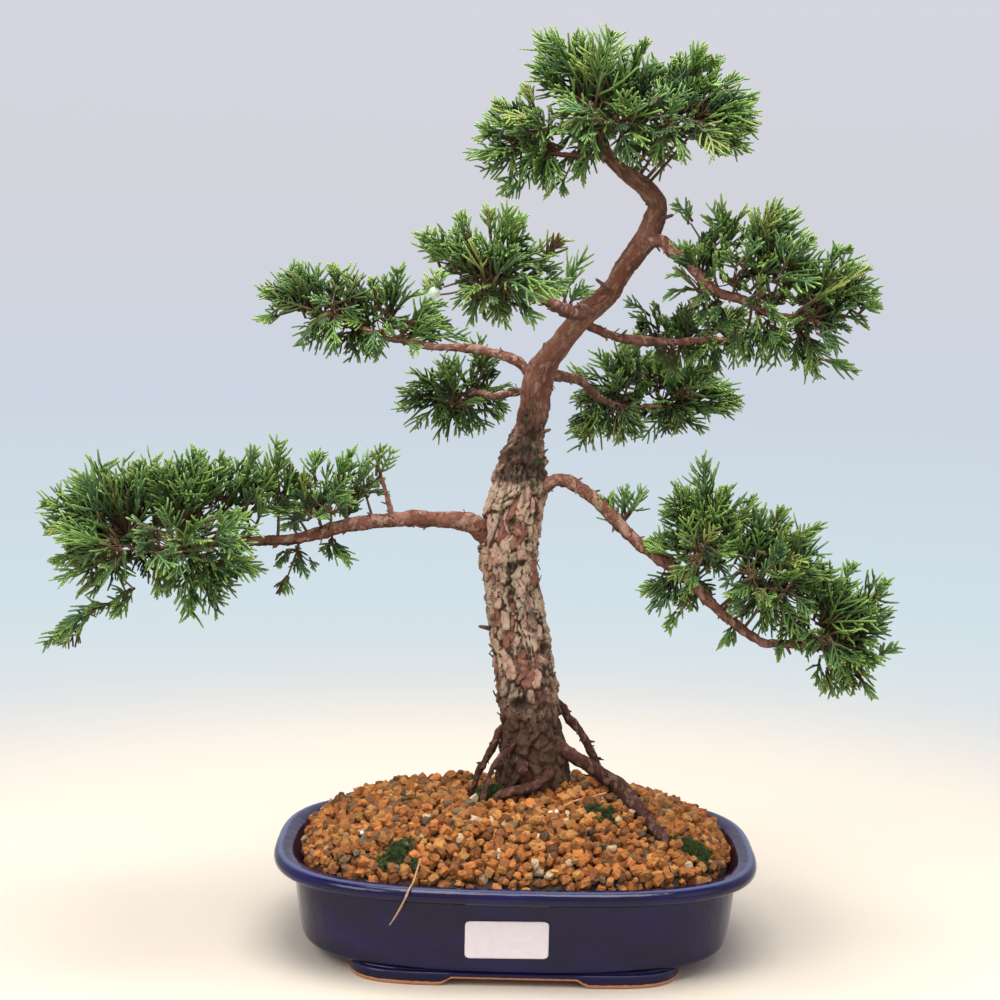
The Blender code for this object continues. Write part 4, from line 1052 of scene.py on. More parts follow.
LIMBS: dict[str, Route] = {
    "limb_lower_left": [
        (-2, 2, 150, 7), (-18, -3, 160, 5), (-27, -6, 168, 4.6), (-43, -10, 170, 4.2), (-63, -13, 170, 3.9),
        (-90, -19, 167, 3.4), (-112, -25, 161, 2.9), (-129, -29, 160, 2.4), (-154, -32, 158, 1.7),
        (-181, -35, 156, 1.1)],
    "limb_lower_right": [
        (0, 0, 180, 5.5), (11, -3, 188, 4), (18, -5, 191, 3.3), (26, -8, 189, 3.3), (39, -13, 180, 3.2),
        (49, -16, 170, 3.1), (59, -19, 161, 3), (80, -24, 147, 2.8), (100, -29, 129, 2.5),
        (119, -35, 116, 2.2), (131, -37, 115, 2), (149, -40, 114, 1.4), (165, -42, 110, 1)],
    "limb_upper_left": [
        (6, 0, 239, 3.4), (-3, 3, 249, 2.8), (-12, 7, 253, 2.4), (-29, 13, 256, 2.2), (-48, 20, 256, 1.9),
        (-59, 23, 258, 1.8), (-77, 27, 261, 1.5), (-98, 30, 269, 1)],
    "limb_left_back": [
        (4, 0, 232, 2.4), (-1, 15, 234, 2), (-8, 30, 232, 1.9), (-16, 45, 229, 1.7), (-24, 60, 229, 1.5),
        (-38, 75, 227, 1.1)],
    "limb_front": [
        (30, 3, 277, 4), (21, -20, 277, 3.3), (7, -50, 284, 2.6), (-7, -75, 291, 1.8), (-18, -92, 297, 1.1)],
    "limb_mid_right": [
        (28, 1, 272, 3), (34, 8, 268, 2.4), (45, 12, 264, 2.3), (56, 17, 262, 2.3), (69, 22, 261, 2.2),
        (81, 28, 261, 2), (97, 34, 262, 1.7), (112, 40, 262, 1.1)],
    "limb_right_back": [
        (8, 0, 245, 3), (21, 16, 242, 2.4), (29, 32, 239, 2.2), (37, 48, 231, 2), (46, 63, 225, 1.7),
        (59, 79, 222, 1.4), (82, 93, 222, 1)],
    "limb_upper_right": [
        (56, 2, 312, 3.6), (66, -4, 313, 3), (71, -8, 308, 2.8), (79, -11, 303, 2.7), (86, -14, 295, 2.6),
        (95, -16, 288, 2.4), (106, -19, 285, 2.2), (121, -25, 278, 1.8), (141, -30, 277, 1.1)],
    "limb_apex_left": [
        (38, 0, 354, 1.8), (30, -6, 354, 1.4), (11, -10, 355, 1.2), (-6, -10, 360, 0.9)],
    "twig_bare": [
        (-66, -14, 168, 1.5), (-69, -15, 180, 1.1), (-72, -15, 190, 0.9), (-75, -15, 200, 0.7)],
}
ROOTS: dict[str, Route] = {
    "root_right_arch": [
        (10, 7, 76, 3), (21, 9, 71, 2), (26, 8, 64, 2), (33, 7, 56, 2), (38, 6, 47, 1.9), (43, 5, 36, 1.8),
        (48, 4, 12, 1.4)],
    "root_right_long": [
        (8, 0, 62, 5), (21, -5, 52, 3.6), (32, -7, 45, 3.3), (41, -6, 39, 3.4), (49, -5, 34, 3.8),
        (56, -6, 27, 4.2), (61, -14, 23, 4.2), (65, -21, 20, 4), (69, -28, 17, 3.7), (75, -38, 11, 3.2),
        (80, -45, -3, 2)],
    "root_left_front": [
        (3, -4, 57, 2.2), (-3, -10, 52, 1.4), (-10, -13, 46, 1.4), (-14, -15, 39, 1.4), (-17, -17, 28, 1.4),
        (-19, -18, 10, 1.2)],
    "root_left_dark": [
        (0, 3, 64, 2.4), (-9, 1, 58, 1.8), (-13, 0, 49, 1.8), (-17, 0, 41, 1.7), (-21, 0, 33, 1.6),
        (-25, 0, 14, 1.3)],
    "root_front_peg": [
        (2, -3, 49, 3.6), (2, -14, 44, 2.8), (3, -19, 41, 2.4)],
    "root_front_low": [
        (18, -6, 41, 3.4), (15, -17, 38, 2.5), (7, -19, 33, 2.5), (-4, -19, 30, 2.4), (-11, -17, 26, 2.2),
        (-17, -14, 10, 1.6)],
}


@dataclass(frozen=True)
class Scar:
    """A place on the trunk where the bark bulges, opens or peels."""

    place: tuple[float, float, float]
    reach: float
    ring: float = 0.0
    pit: float = 0.0
    bulge: float = 0.0
    red: float = 0.0
    # dark: darkens the scar's middle; where the scar has a pit this is painted shade inside the hole,
    # elsewhere darker bark
    dark: float = 0.0


@dataclass(frozen=True)
class Trunk:
    """The trunk: plated bark low down, rough and dark where it narrows, thin red-brown bark above."""

    scars: tuple[Scar, ...] = (
        Scar((0.0005, -0.0115, 0.0756), 0.0090, ring=0.0016, pit=0.0048, bulge=0.0022, dark=1.0),
        Scar((0.0134, -0.006, 0.1034), 0.0065, ring=0.0004, pit=0.0042, dark=1.0),
        Scar((-0.0053, -0.0100, 0.1476), 0.0060, ring=0.0010, pit=0.0022, dark=1.0),
        Scar((-0.0060, -0.0100, 0.1700), 0.0060, pit=0.0012, dark=1.0),
        Scar((0.0040, -0.0120, 0.1150), 0.0050, pit=0.0010, dark=0.7),
        Scar((-0.0169, 0.000, 0.1122), 0.0034, bulge=0.0028, dark=0.8),
        Scar((-0.0170, -0.003, 0.1520), 0.0080, bulge=0.0022, red=0.4),
        Scar((-0.0140, -0.006, 0.1400), 0.0055, red=0.9, pit=0.0006),
        Scar((-0.0125, -0.008, 0.1290), 0.0048, red=0.9, pit=0.0006),
        Scar((0.0010, -0.0125, 0.0900), 0.0050, red=0.8, pit=0.0004),
        Scar((0.0075, 0.000, 0.1870), 0.0060, bulge=0.0020, dark=0.3),
        Scar((-0.0109, -0.004, 0.1909), 0.0060, bulge=0.0012, dark=0.8),
        Scar((0.0040, 0.000, 0.2400), 0.0065, bulge=0.0012),
        Scar((0.0310, 0.000, 0.2770), 0.0060, bulge=0.0016),
        Scar((0.0410, -0.003, 0.2890), 0.0040, bulge=0.0014, dark=0.3),
        Scar((0.0590, 0.000, 0.3120), 0.0060, bulge=0.0010),
        Scar((0.0620, -0.003, 0.3300), 0.0045, bulge=0.0014, dark=0.4),
        Scar((0.0140, -0.0050, 0.0520), 0.0090, bulge=0.0020),
        Scar((0.0020, -0.0080, 0.0480), 0.0070, bulge=0.0012))
    spacing: float = 0.00074
    sides: int = 140
    unrolled_radius: float = 0.0145
    strips: int = 120
    # cells on the unrolled skin: round it on two axes, then up it
    plate_size: tuple[float, float, float] = (0.0046, 0.0046, 0.0150)
    chip_size: tuple[float, float, float] = (0.0026, 0.0026, 0.0064)
    flake_size: tuple[float, float, float] = (0.0042, 0.0042, 0.0075)
    # heights above the lip where one kind of bark gives way to the next
    smooth_from: tuple[float, float] = (0.205, 0.220)
    collar_from: tuple[float, float] = (0.176, 0.196)
    collar_to: tuple[float, float] = (0.208, 0.232)

    def build(self) -> Track:
        """Make the trunk; its path is handed back for the pieces that grow from it."""
        track = Track.along(TRUNK, self.spacing, LIP)
        rays = track.rays(self.sides)
        height = np.broadcast_to(track.centre[:, 2:3] - LIP, rays.shape[:2])
        radius = track.radius[:, None]
        turn = np.linspace(0, 2 * math.pi, self.sides, endpoint=False)[None, :]
        skin = track.centre[:, None] + rays * radius[..., None]
        smooth = step_up(height + cloud(skin, 0.008, 5) * 0.004, *self.smooth_from)
        base = 1 - step_up(height, 0.0, 0.075)
        wide = cloud(skin, (0.016, 0.016, 0.030), 2)
        flute = np.cos(4 * turn + 1.1 + height * 18) * 0.5 + np.cos(7 * turn + 2 + height * 30) * 0.3
        push = wide * radius * 0.12 + flute * base * 0.0022
        # plates of bark lie in the trunk's own unrolled space: round it, and up it with a slow twist
        warp = drift(skin, (0.006, 0.006, 0.008), 11) * 0.0018
        warp = warp + drift(skin, (0.0022, 0.0022, 0.0026), 16) * 0.0006
        flat = self.unrolled_radius
        around = np.stack([rays[..., 0] * flat, rays[..., 1] * flat, height], axis=-1) + warp
        edge, pick, rise = cells(around, self.plate_size, 3)
        small_edge, small_pick, small_rise = cells(around, self.chip_size, 9)
        shed = (pick < 0.20) * step_up(edge, 0.02, 0.10) + (small_pick < 0.16) * 0.6
        plate = step_up(edge, 0.0, 0.20) * (0.0005 + 0.0010 * pick) - 0.0006 * (pick < 0.24)
        plate += -rise * 0.0016 + step_up(small_edge, 0.0, 0.16) * 0.00075 * small_pick - small_rise * 0.0008
        plate += cloud(skin, (0.0020, 0.0020, 0.0060), 19) * 0.00045
        torn = height + cloud(skin, (0.007, 0.007, 0.014), 28) * 0.014
        rough = step_up(torn, *self.collar_from) * (1 - step_up(torn, *self.collar_to))
        lumps = cloud(skin, 0.0035, 21) * 0.0014 + cloud(skin, 0.0016, 22) * 0.0009
        flake_edge, flake_pick, flake_rise = cells(around, self.flake_size, 15)
        flake = (flake_pick > 0.62) * step_up(flake_edge, 0.04, 0.20) * 0.00045 - flake_rise * 0.00016
        push = push + plate * (1 - smooth) * (1 - 0.4 * rough) + lumps * rough * 1.5
        push = push + smooth * (flake + cloud(skin, 0.0045, 23) * 0.0004) + cloud(skin, 0.0011, 24) * 0.00012
        broken = step_up(cloud(skin, 0.0060, 26) + cloud(skin, 0.0025, 27) * 0.5, -0.35, 0.45)
        crack = (1 - step_up(edge, 0.0, 0.17)) * (1 - smooth) * (0.45 + 0.55 * broken)
        small_crack = (1 - step_up(small_edge, 0.0, 0.13)) * 0.75
        crack = np.maximum(crack, small_crack * (1 - smooth) * (1 - 0.5 * broken))
        crack = np.maximum(crack, (1 - step_up(flake_edge, 0.0, 0.06)) * 0.45 * smooth)
        moss = rough * step_up(cloud(skin, 0.004, 31) + cloud(skin, 0.0016, 32) * 0.6, 0.20, 0.70)
        foot_moss = step_up(cloud(skin, 0.006, 33), 0.15, 0.7) * step_up(-skin[..., 0], -0.012, 0.0)
        moss = np.maximum(moss, base * foot_moss)
        dark = rough * (0.55 + 0.60 * cloud(skin, 0.005, 34)) + step_up(0.030 - height, -0.010, 0.025) * 0.75
        dark = dark + step_up(cloud(skin, (0.004, 0.004, 0.009), 35), 0.35, 0.8) * 0.45 * (1 - smooth)
        for number, scar in enumerate(self.scars):
            offset = skin - (np.array(scar.place) + [0, 0, LIP])
            ragged = cloud(skin, 0.003, 40 + number) * scar.reach * 0.12
            far = np.linalg.norm(offset * [1, 0.55, 1], axis=-1) + ragged
            near = np.exp(-(far / (scar.reach * 0.62)) ** 2)
            push = push + near * scar.bulge - np.exp(-(far / (scar.reach * 0.40)) ** 2) * scar.pit
            push = push + np.cos(far / scar.reach * 13.0) * near * scar.ring * 0.5
            shed = np.maximum(shed, near * scar.red)
            # in the scars with a pit this darkening is painted shade inside the hole
            dark = np.maximum(dark, np.exp(-(far / (scar.reach * 0.45)) ** 2) * scar.dark)
        rings = track.centre[:, None] + rays * (radius + push)[..., None]
        shell = Shell()
        shell.add_tube(rings, track.centre[0], track.centre[-1] + track.ahead[-1] * track.radius[-1],
                       bark=np.stack([crack, pick * (1 - smooth) + flake_pick * smooth, moss], axis=-1),
                       skin=np.stack([shed * (1 - smooth), smooth, np.clip(dark, 0, 1)], axis=-1))
        self.stubs(shell, track)
        BENCH.hand_over(shell.piece("trunk_bark_skin"), Stuff.TRUNK.value, "trunk_bark", "trunk")
        return track

    def stubs(self, shell: Shell, track: Track) -> None:
        """Broken twig ends and loose strips of bark.

        Args:
            shell: Where they go.
            track: The trunk's path.
        """
        rng = np.random.default_rng(5)
        picked = np.array([
            (0.0410, -0.003, 0.289, 0.034, -0.007, 0.293), (0.0590, 0.000, 0.331, 0.058, -0.004, 0.341),
            (0.0640, 0.000, 0.324, 0.071, -0.003, 0.326), (-0.0160, 0.000, 0.112, -0.021, -0.003, 0.1135),
            (0.0060, -0.004, 0.214, 0.012, -0.009, 0.217), (-0.0050, -0.004, 0.236, -0.009, -0.009, 0.237)])
        start, finish = picked[:, :3] + [0, 0, LIP], picked[:, 3:] + [0, 0, LIP]
        count = self.strips
        seats = rng.integers(60, int(len(track.centre) * 0.62), count)
        turn = rng.uniform(0, 2 * math.pi, count)[:, None]
        out = track.side[seats] * np.cos(turn) + track.across[seats] * np.sin(turn)
        root = track.centre[seats] + out * (track.radius[seats, None] * 0.99)
        along = rng.choice([-1, 1], count)[:, None] * rng.uniform(0.0015, 0.0050, count)[:, None]
        strip = root + track.ahead[seats] * along + out * rng.uniform(0.0008, 0.0024, count)[:, None]
        start, finish = np.concatenate([start, root]), np.concatenate([finish, strip])
        middle = (start + finish) / 2 + rng.normal(size=start.shape) * 0.0005
        thick = np.concatenate([np.full(len(picked), 0.0014), rng.uniform(0.0003, 0.0007, count)])
        points, quads, tris, _ = fronds(start, middle, finish, thick, thick * 0.6, 8, 5, rng)
        shell.add(points, quads, tris, bark=(0.15, 0.5, 0.0), skin=(0.2, 0.5, 0.5))


@dataclass(frozen=True)
class Branch:
    """A limb, twig or root: a lumpy tube with flaking skin."""

    name: str
    route: Route
    slot: str = "limb_bark"
    lumps: float = 0.16
    sides: int = 32
    spacing: float = 0.0008
    flake_size: float = 0.0034
    twig_every: float = 0.0045

    def build(self) -> Track:
        """Make the branch; its path is handed back."""
        track = Track.along(self.route, self.spacing, LIP)
        rays = track.rays(self.sides)
        radius = track.radius[:, None]
        skin = track.centre[:, None] + rays * radius[..., None]
        around = rays * 0.003 + track.run[:, None, None] * 0.6
        edge, pick, _ = cells(around + skin * 0.1, (self.flake_size,) * 3, 6)
        swell = cloud(np.broadcast_to(track.centre[:, None], skin.shape), 0.009, 8) * self.lumps
        knuckle = cloud(skin, 0.0042, 9) * self.lumps * 0.8
        flake = (pick > 0.55) * step_up(edge, 0.04, 0.22) * 0.00035 * np.minimum(radius / 0.003, 1)
        ribs = cloud(skin, 0.0022, 12) * 0.00030
        push = radius * (swell + knuckle) + flake + ribs + cloud(skin, 0.0011, 10) * 0.00018
        rings = track.centre[:, None] + rays * (radius + push)[..., None]
        crack = (1 - step_up(edge, 0.0, 0.08)) * 0.7
        # painted shade: limbs and roots darker on their undersides, plus random darker patches; this goes
        # into the dark skin mark
        shade = step_up(-rays[..., 2], 0.1, 1.0) * 0.55 + step_up(cloud(skin, 0.006, 13), 0.2, 0.8) * 0.35
        shell = Shell()
        shell.add_tube(rings, track.centre[0], track.centre[-1] + track.ahead[-1] * track.radius[-1],
                       bark=np.stack([crack, pick, 0 * pick], axis=-1),
                       skin=np.stack([0 * pick, 1 + 0 * pick, shade], axis=-1))
        self.side_twigs(shell, track)
        finish = Stuff.ROOT if self.slot == "root_bark" else Stuff.LIMB
        BENCH.hand_over(shell.piece(self.name + "_wood"), finish.value, self.slot, self.name)
        return track

    def side_twigs(self, shell: Shell, track: Track) -> None:
        """Short stubs, buds and fine rootlets along the branch."""
        rng = np.random.default_rng(len(self.name) * 7 + len(track.centre))
        count = max(3, int(track.run[-1] / self.twig_every))
        seats = rng.integers(4, len(track.centre) - 3, count)
        turn = rng.uniform(0, 2 * math.pi, count)[:, None]
        out = track.side[seats] * np.cos(turn) + track.across[seats] * np.sin(turn)
        start = track.centre[seats] + out * track.radius[seats, None] * 0.8
        length = rng.uniform(0.0008, 0.0030, count)[:, None]
        finish = start + out * length + track.ahead[seats] * length * 0.6
        thick = np.minimum(rng.uniform(0.0003, 0.0009, count), track.radius[seats] * 0.45)
        points, quads, tris, _ = fronds(start, (start + finish) / 2, finish, thick, thick * 0.7, 7, 3, rng)
        shell.add(points, quads, tris, bark=(0.2, 0.7, 0.0), skin=(0.0, 0.9, 0.3))


# ---------------------------------------------------------------- ground cover
@dataclass(frozen=True)
class Bed:
    """The mound of grit: its outline and height."""

    half_width: float = 0.11153
    half_depth: float = 0.07503
    edge: float = 0.047
    rise: float = 0.030
    hump: float = 0.006
    hump_x: float = 0.035

    def reach(self, x: Array, y: Array) -> Array:
        """0 in the middle, 1 at the pot's wall."""
        return (np.abs(x / self.half_width) ** 3 + np.abs(y / self.half_depth) ** 3) ** (1 / 3)

    def height(self, x: Array, y: Array) -> Array:
        """Edge height, plus a crown that falls to the wall, plus a hump to the right of the trunk."""
        crown = np.maximum(1 - self.reach(x, y) ** 2, 0) ** 0.6
        hump = np.exp(-((x - self.hump_x) ** 2 + y**2) / 0.03**2)
        return self.edge + self.rise * crown + self.hump * hump * crown


@dataclass(frozen=True)
class Patch:
    """A place on the bed with moss, or with dark crumbs instead of grains."""

    x: float
    y: float
    reach: float


@dataclass(frozen=True)
class Grains:
    """Loose baked-clay grains over a skin of dark crumbs."""

    bed: Bed
    patches: tuple[Patch, ...]
    pitch: float = 0.0043
    small: float = 0.0034
    large: float = 0.0078

    def template(self) -> tuple[Array, Array]:
        """A rounded cube: each side cut into four faces, every point drawn half way to the ball."""
        steps = np.array([-1.0, 0.0, 1.0])
        grid = np.stack(np.meshgrid(steps, steps, indexing="ij"), axis=-1).reshape(-1, 2)
        points, faces = [], []
        for axis in range(3):
            for sign in (-1, 1):
                side = np.insert(grid, axis, sign, axis=1)
                quad = grid_faces(3, 3, closed=False) + 9 * len(points)
                points.append(side)
                faces.append(quad if sign * (-1) ** axis < 0 else quad[:, ::-1])
        cube, corners = np.concatenate(points), np.concatenate(faces)
        _, kept, merged = np.unique(cube, axis=0, return_index=True, return_inverse=True)
        cube, corners = cube[kept], merged.reshape(-1)[corners]
        return unit(cube) * 0.62 + cube * 0.30, corners

    def seats(self, rng: np.random.Generator) -> tuple[Array, Array]:
        """Middles and sizes of the grains: two jittered honeycomb layers and some scattered on top."""
        places, sizes = [], []
        for layer, (lift, spread) in enumerate(((-0.0020, 1.0), (0.0012, 1.08), (0.0036, 2.3))):
            pitch = self.pitch * spread
            i, j = np.meshgrid(np.arange(-30, 31), np.arange(-26, 27), indexing="ij")
            x = (i + 0.5 * (j % 2) + 0.31 * layer) * pitch
            y = j * pitch * 0.866 + 0.4 * layer * pitch
            x, y = x.ravel(), y.ravel()
            x = x + rng.uniform(-0.36, 0.36, x.shape) * pitch
            y = y + rng.uniform(-0.36, 0.36, x.shape) * pitch
            size = rng.triangular(self.small, 0.0048, self.large, x.shape) * (0.9 if layer == 2 else 1.0)
            z = self.bed.height(x, y) + lift + rng.uniform(-0.0008, 0.0010, x.shape) - size * 0.12
            places.append(np.stack([x, y, z], axis=-1))
            sizes.append(size)
        return np.concatenate(places), np.concatenate(sizes)

    def build(self, trunk: Track, roots: list[Track]) -> None:
        """Make the grains and the crumbs.

        Args:
            trunk: The trunk's path; no grain stands inside it.
            roots: The roots' paths, likewise.
        """
        rng = np.random.default_rng(11)
        centre, size = self.seats(rng)
        keep = self.bed.reach(centre[:, 0], centre[:, 1]) < 1.0 - size * 0.20 / self.bed.half_depth
        base = trunk.centre[:, 2] < 0.11
        wide = trunk.radius[base].max()
        apart = np.linalg.norm(centre[:, None, :2] - trunk.centre[None, base, :2], axis=-1).min(axis=1)
        keep &= apart > wide * 0.93
        for root in roots:
            gap = np.linalg.norm(centre[:, None] - root.centre[None], axis=-1) - root.radius[None]
            keep &= gap.min(axis=1) > size * 0.36
        drop = rng.uniform(size=len(centre))
        for patch in self.patches:
            far = np.hypot(centre[:, 0] - patch.x, centre[:, 1] - patch.y) / patch.reach
            keep &= (far > 1.0) | (drop < 0.34 + 0.3 * (far > 0.7))
        centre, size = centre[keep], size[keep]
        count = len(centre)
        ball, corners = self.template()
        lumps = 1 + rng.uniform(-0.24, 0.20, (count, len(ball), 1))
        squash = rng.uniform(0.70, 1.22, (count, 1, 3))
        spin = np.linalg.qr(rng.normal(size=(count, 3, 3)))[0]
        spin[:, :, 0] *= np.sign(np.linalg.det(spin))[:, None]
        grains = np.einsum("nij,nkj->nki", spin, ball[None] * lumps * squash) * (size / 2)[:, None, None]
        grains = grains + centre[:, None]
        kind = rng.uniform(size=count)
        light = rng.uniform(size=count)
        dust = (rng.uniform(size=count) < 0.10) * rng.uniform(0.4, 1.0, count)
        marks = np.stack([kind, light, dust], axis=-1)[:, None]
        shell = Shell()
        shell.add(grains, repeat(corners, count, len(ball)), grain=marks)
        BENCH.hand_over(shell.piece("grit_grains", smooth=False), Stuff.GRIT.value, "gravel", "gravel_bed")
        self.crumbs()
        self.perlite(rng)

    def crumbs(self) -> None:
        """Closed skin of dark crumbs just under the grains: a radial grid raised by fine noise."""
        share = np.linspace(0.012, 1, 110) ** 0.8 * 0.985
        turn = np.linspace(0, 2 * math.pi, 300, endpoint=False)
        c, s = np.cos(turn), np.sin(turn)
        x = share[:, None] * self.bed.half_width * (np.sign(c) * np.abs(c) ** (2 / 3))[None]
        y = share[:, None] * self.bed.half_depth * (np.sign(s) * np.abs(s) ** (2 / 3))[None]
        flat = np.stack([x, y, 0 * x], axis=-1)
        rough = cloud(flat, 0.0042, 61) * 0.0009 + cloud(flat, 0.0017, 62) * 0.0007
        z = self.bed.height(x, y) - 0.0032 + rough
        top = np.stack([x, y, z], axis=-1)[::-1]
        bottom = self.bed.edge - 0.008
        under = np.stack([x[-1], y[-1], 0 * x[-1] + bottom], axis=-1)[None]
        peak = float(self.bed.height(np.zeros(1), np.zeros(1))[0]) - 0.0026
        shell = Shell()
        shell.add_tube(np.concatenate([under, top]), np.array([0, 0, bottom]), np.array([0, 0, peak]))
        BENCH.hand_over(shell.piece("dark_crumbs"), Stuff.SOIL.value, "soil")

    def perlite(self, rng: np.random.Generator) -> None:
        """A few white grains among the others."""
        picked = np.array([(0.017, -0.034), (0.020, -0.033), (-0.052, -0.020), (0.068, -0.052),
                           (-0.078, -0.041)])
        size = np.array([0.0030, 0.0024, 0.0022, 0.0020, 0.0023])
        ball, corners = self.template()
        height = self.bed.height(picked[:, 0], picked[:, 1]) + 0.0022
        centre = np.column_stack([picked, height])[:, None]
        lumps = 1 + rng.uniform(-0.2, 0.2, (len(size), len(ball), 1))
        shell = Shell()
        shell.add(ball[None] * lumps * (size / 2)[:, None, None] + centre,
                  repeat(corners, len(size), len(ball)))
        BENCH.hand_over(shell.piece("white_grains"), Stuff.PERLITE.value, "gravel")


@dataclass(frozen=True)
class Moss:
    """A low cushion of fine blades over dark debris."""

    name: str
    patch: Patch
    bed: Bed
    height: float = 0.0026
    blades: int = 2600
    rings: int = 22
    sides: int = 64

    def build(self, *stands_for: str) -> None:
        """Make the cushion: a lumpy disc that follows the bed, and tapered blades standing on it.

        Args:
            *stands_for: CAD nodes it replaces.
        """
        rng = np.random.default_rng(len(self.name) + 40)
        share = np.linspace(0.03, 1, self.rings)[:, None]
        turn = np.linspace(0, 2 * math.pi, self.sides, endpoint=False)[None]
        ragged = 1 + 0.22 * np.sin(3 * turn + len(self.name)) + 0.12 * np.sin(7 * turn)
        x = self.patch.x + self.patch.reach * share * ragged * np.cos(turn)
        y = self.patch.y + self.patch.reach * share * ragged * np.sin(turn) * 0.8
        flat = np.stack([x, y, 0 * x], axis=-1)
        lift = self.height * (1 - share**2) ** 0.6 * (0.8 + 0.4 * cloud(flat, 0.004, 70))
        lift = lift + cloud(flat, 0.0015, 71) * 0.0006 + 0.0006
        bed = self.bed.height(x, y)
        top = np.stack([x, y, bed + lift], axis=-1)[::-1]
        under = np.stack([x[-1], y[-1], bed[-1] - 0.003], axis=-1)[None]
        shell = Shell()
        middle = np.array([self.patch.x, self.patch.y, bed[0].mean()])
        shell.add_tube(np.concatenate([under, top]), middle - [0, 0, 0.004], middle + [0, 0, lift[0].mean()])
        count = self.blades
        seat = rng.integers(0, self.rings, count), rng.integers(0, self.sides, count)
        root = np.stack([x, y, bed + lift - 0.0004], axis=-1)[seat] + rng.normal(size=(count, 3)) * 0.0004
        out = unit(np.column_stack([rng.normal(size=(count, 2)) * 0.6, np.ones(count)]))
        tip = root + out * rng.uniform(0.0010, 0.0024, count)[:, None]
        thick = rng.uniform(0.00016, 0.00026, count)
        points, quads, tris, _ = fronds(root, (root + tip) / 2, tip, thick, thick * 0.4, 3, 2, rng)
        shell.add(points, quads, tris)
        BENCH.hand_over(shell.piece(self.name), Stuff.MOSS.value, "moss", *stands_for)


# ---------------------------------------------------------------- foliage
Tuft = tuple[float, float, float, float, float, float]

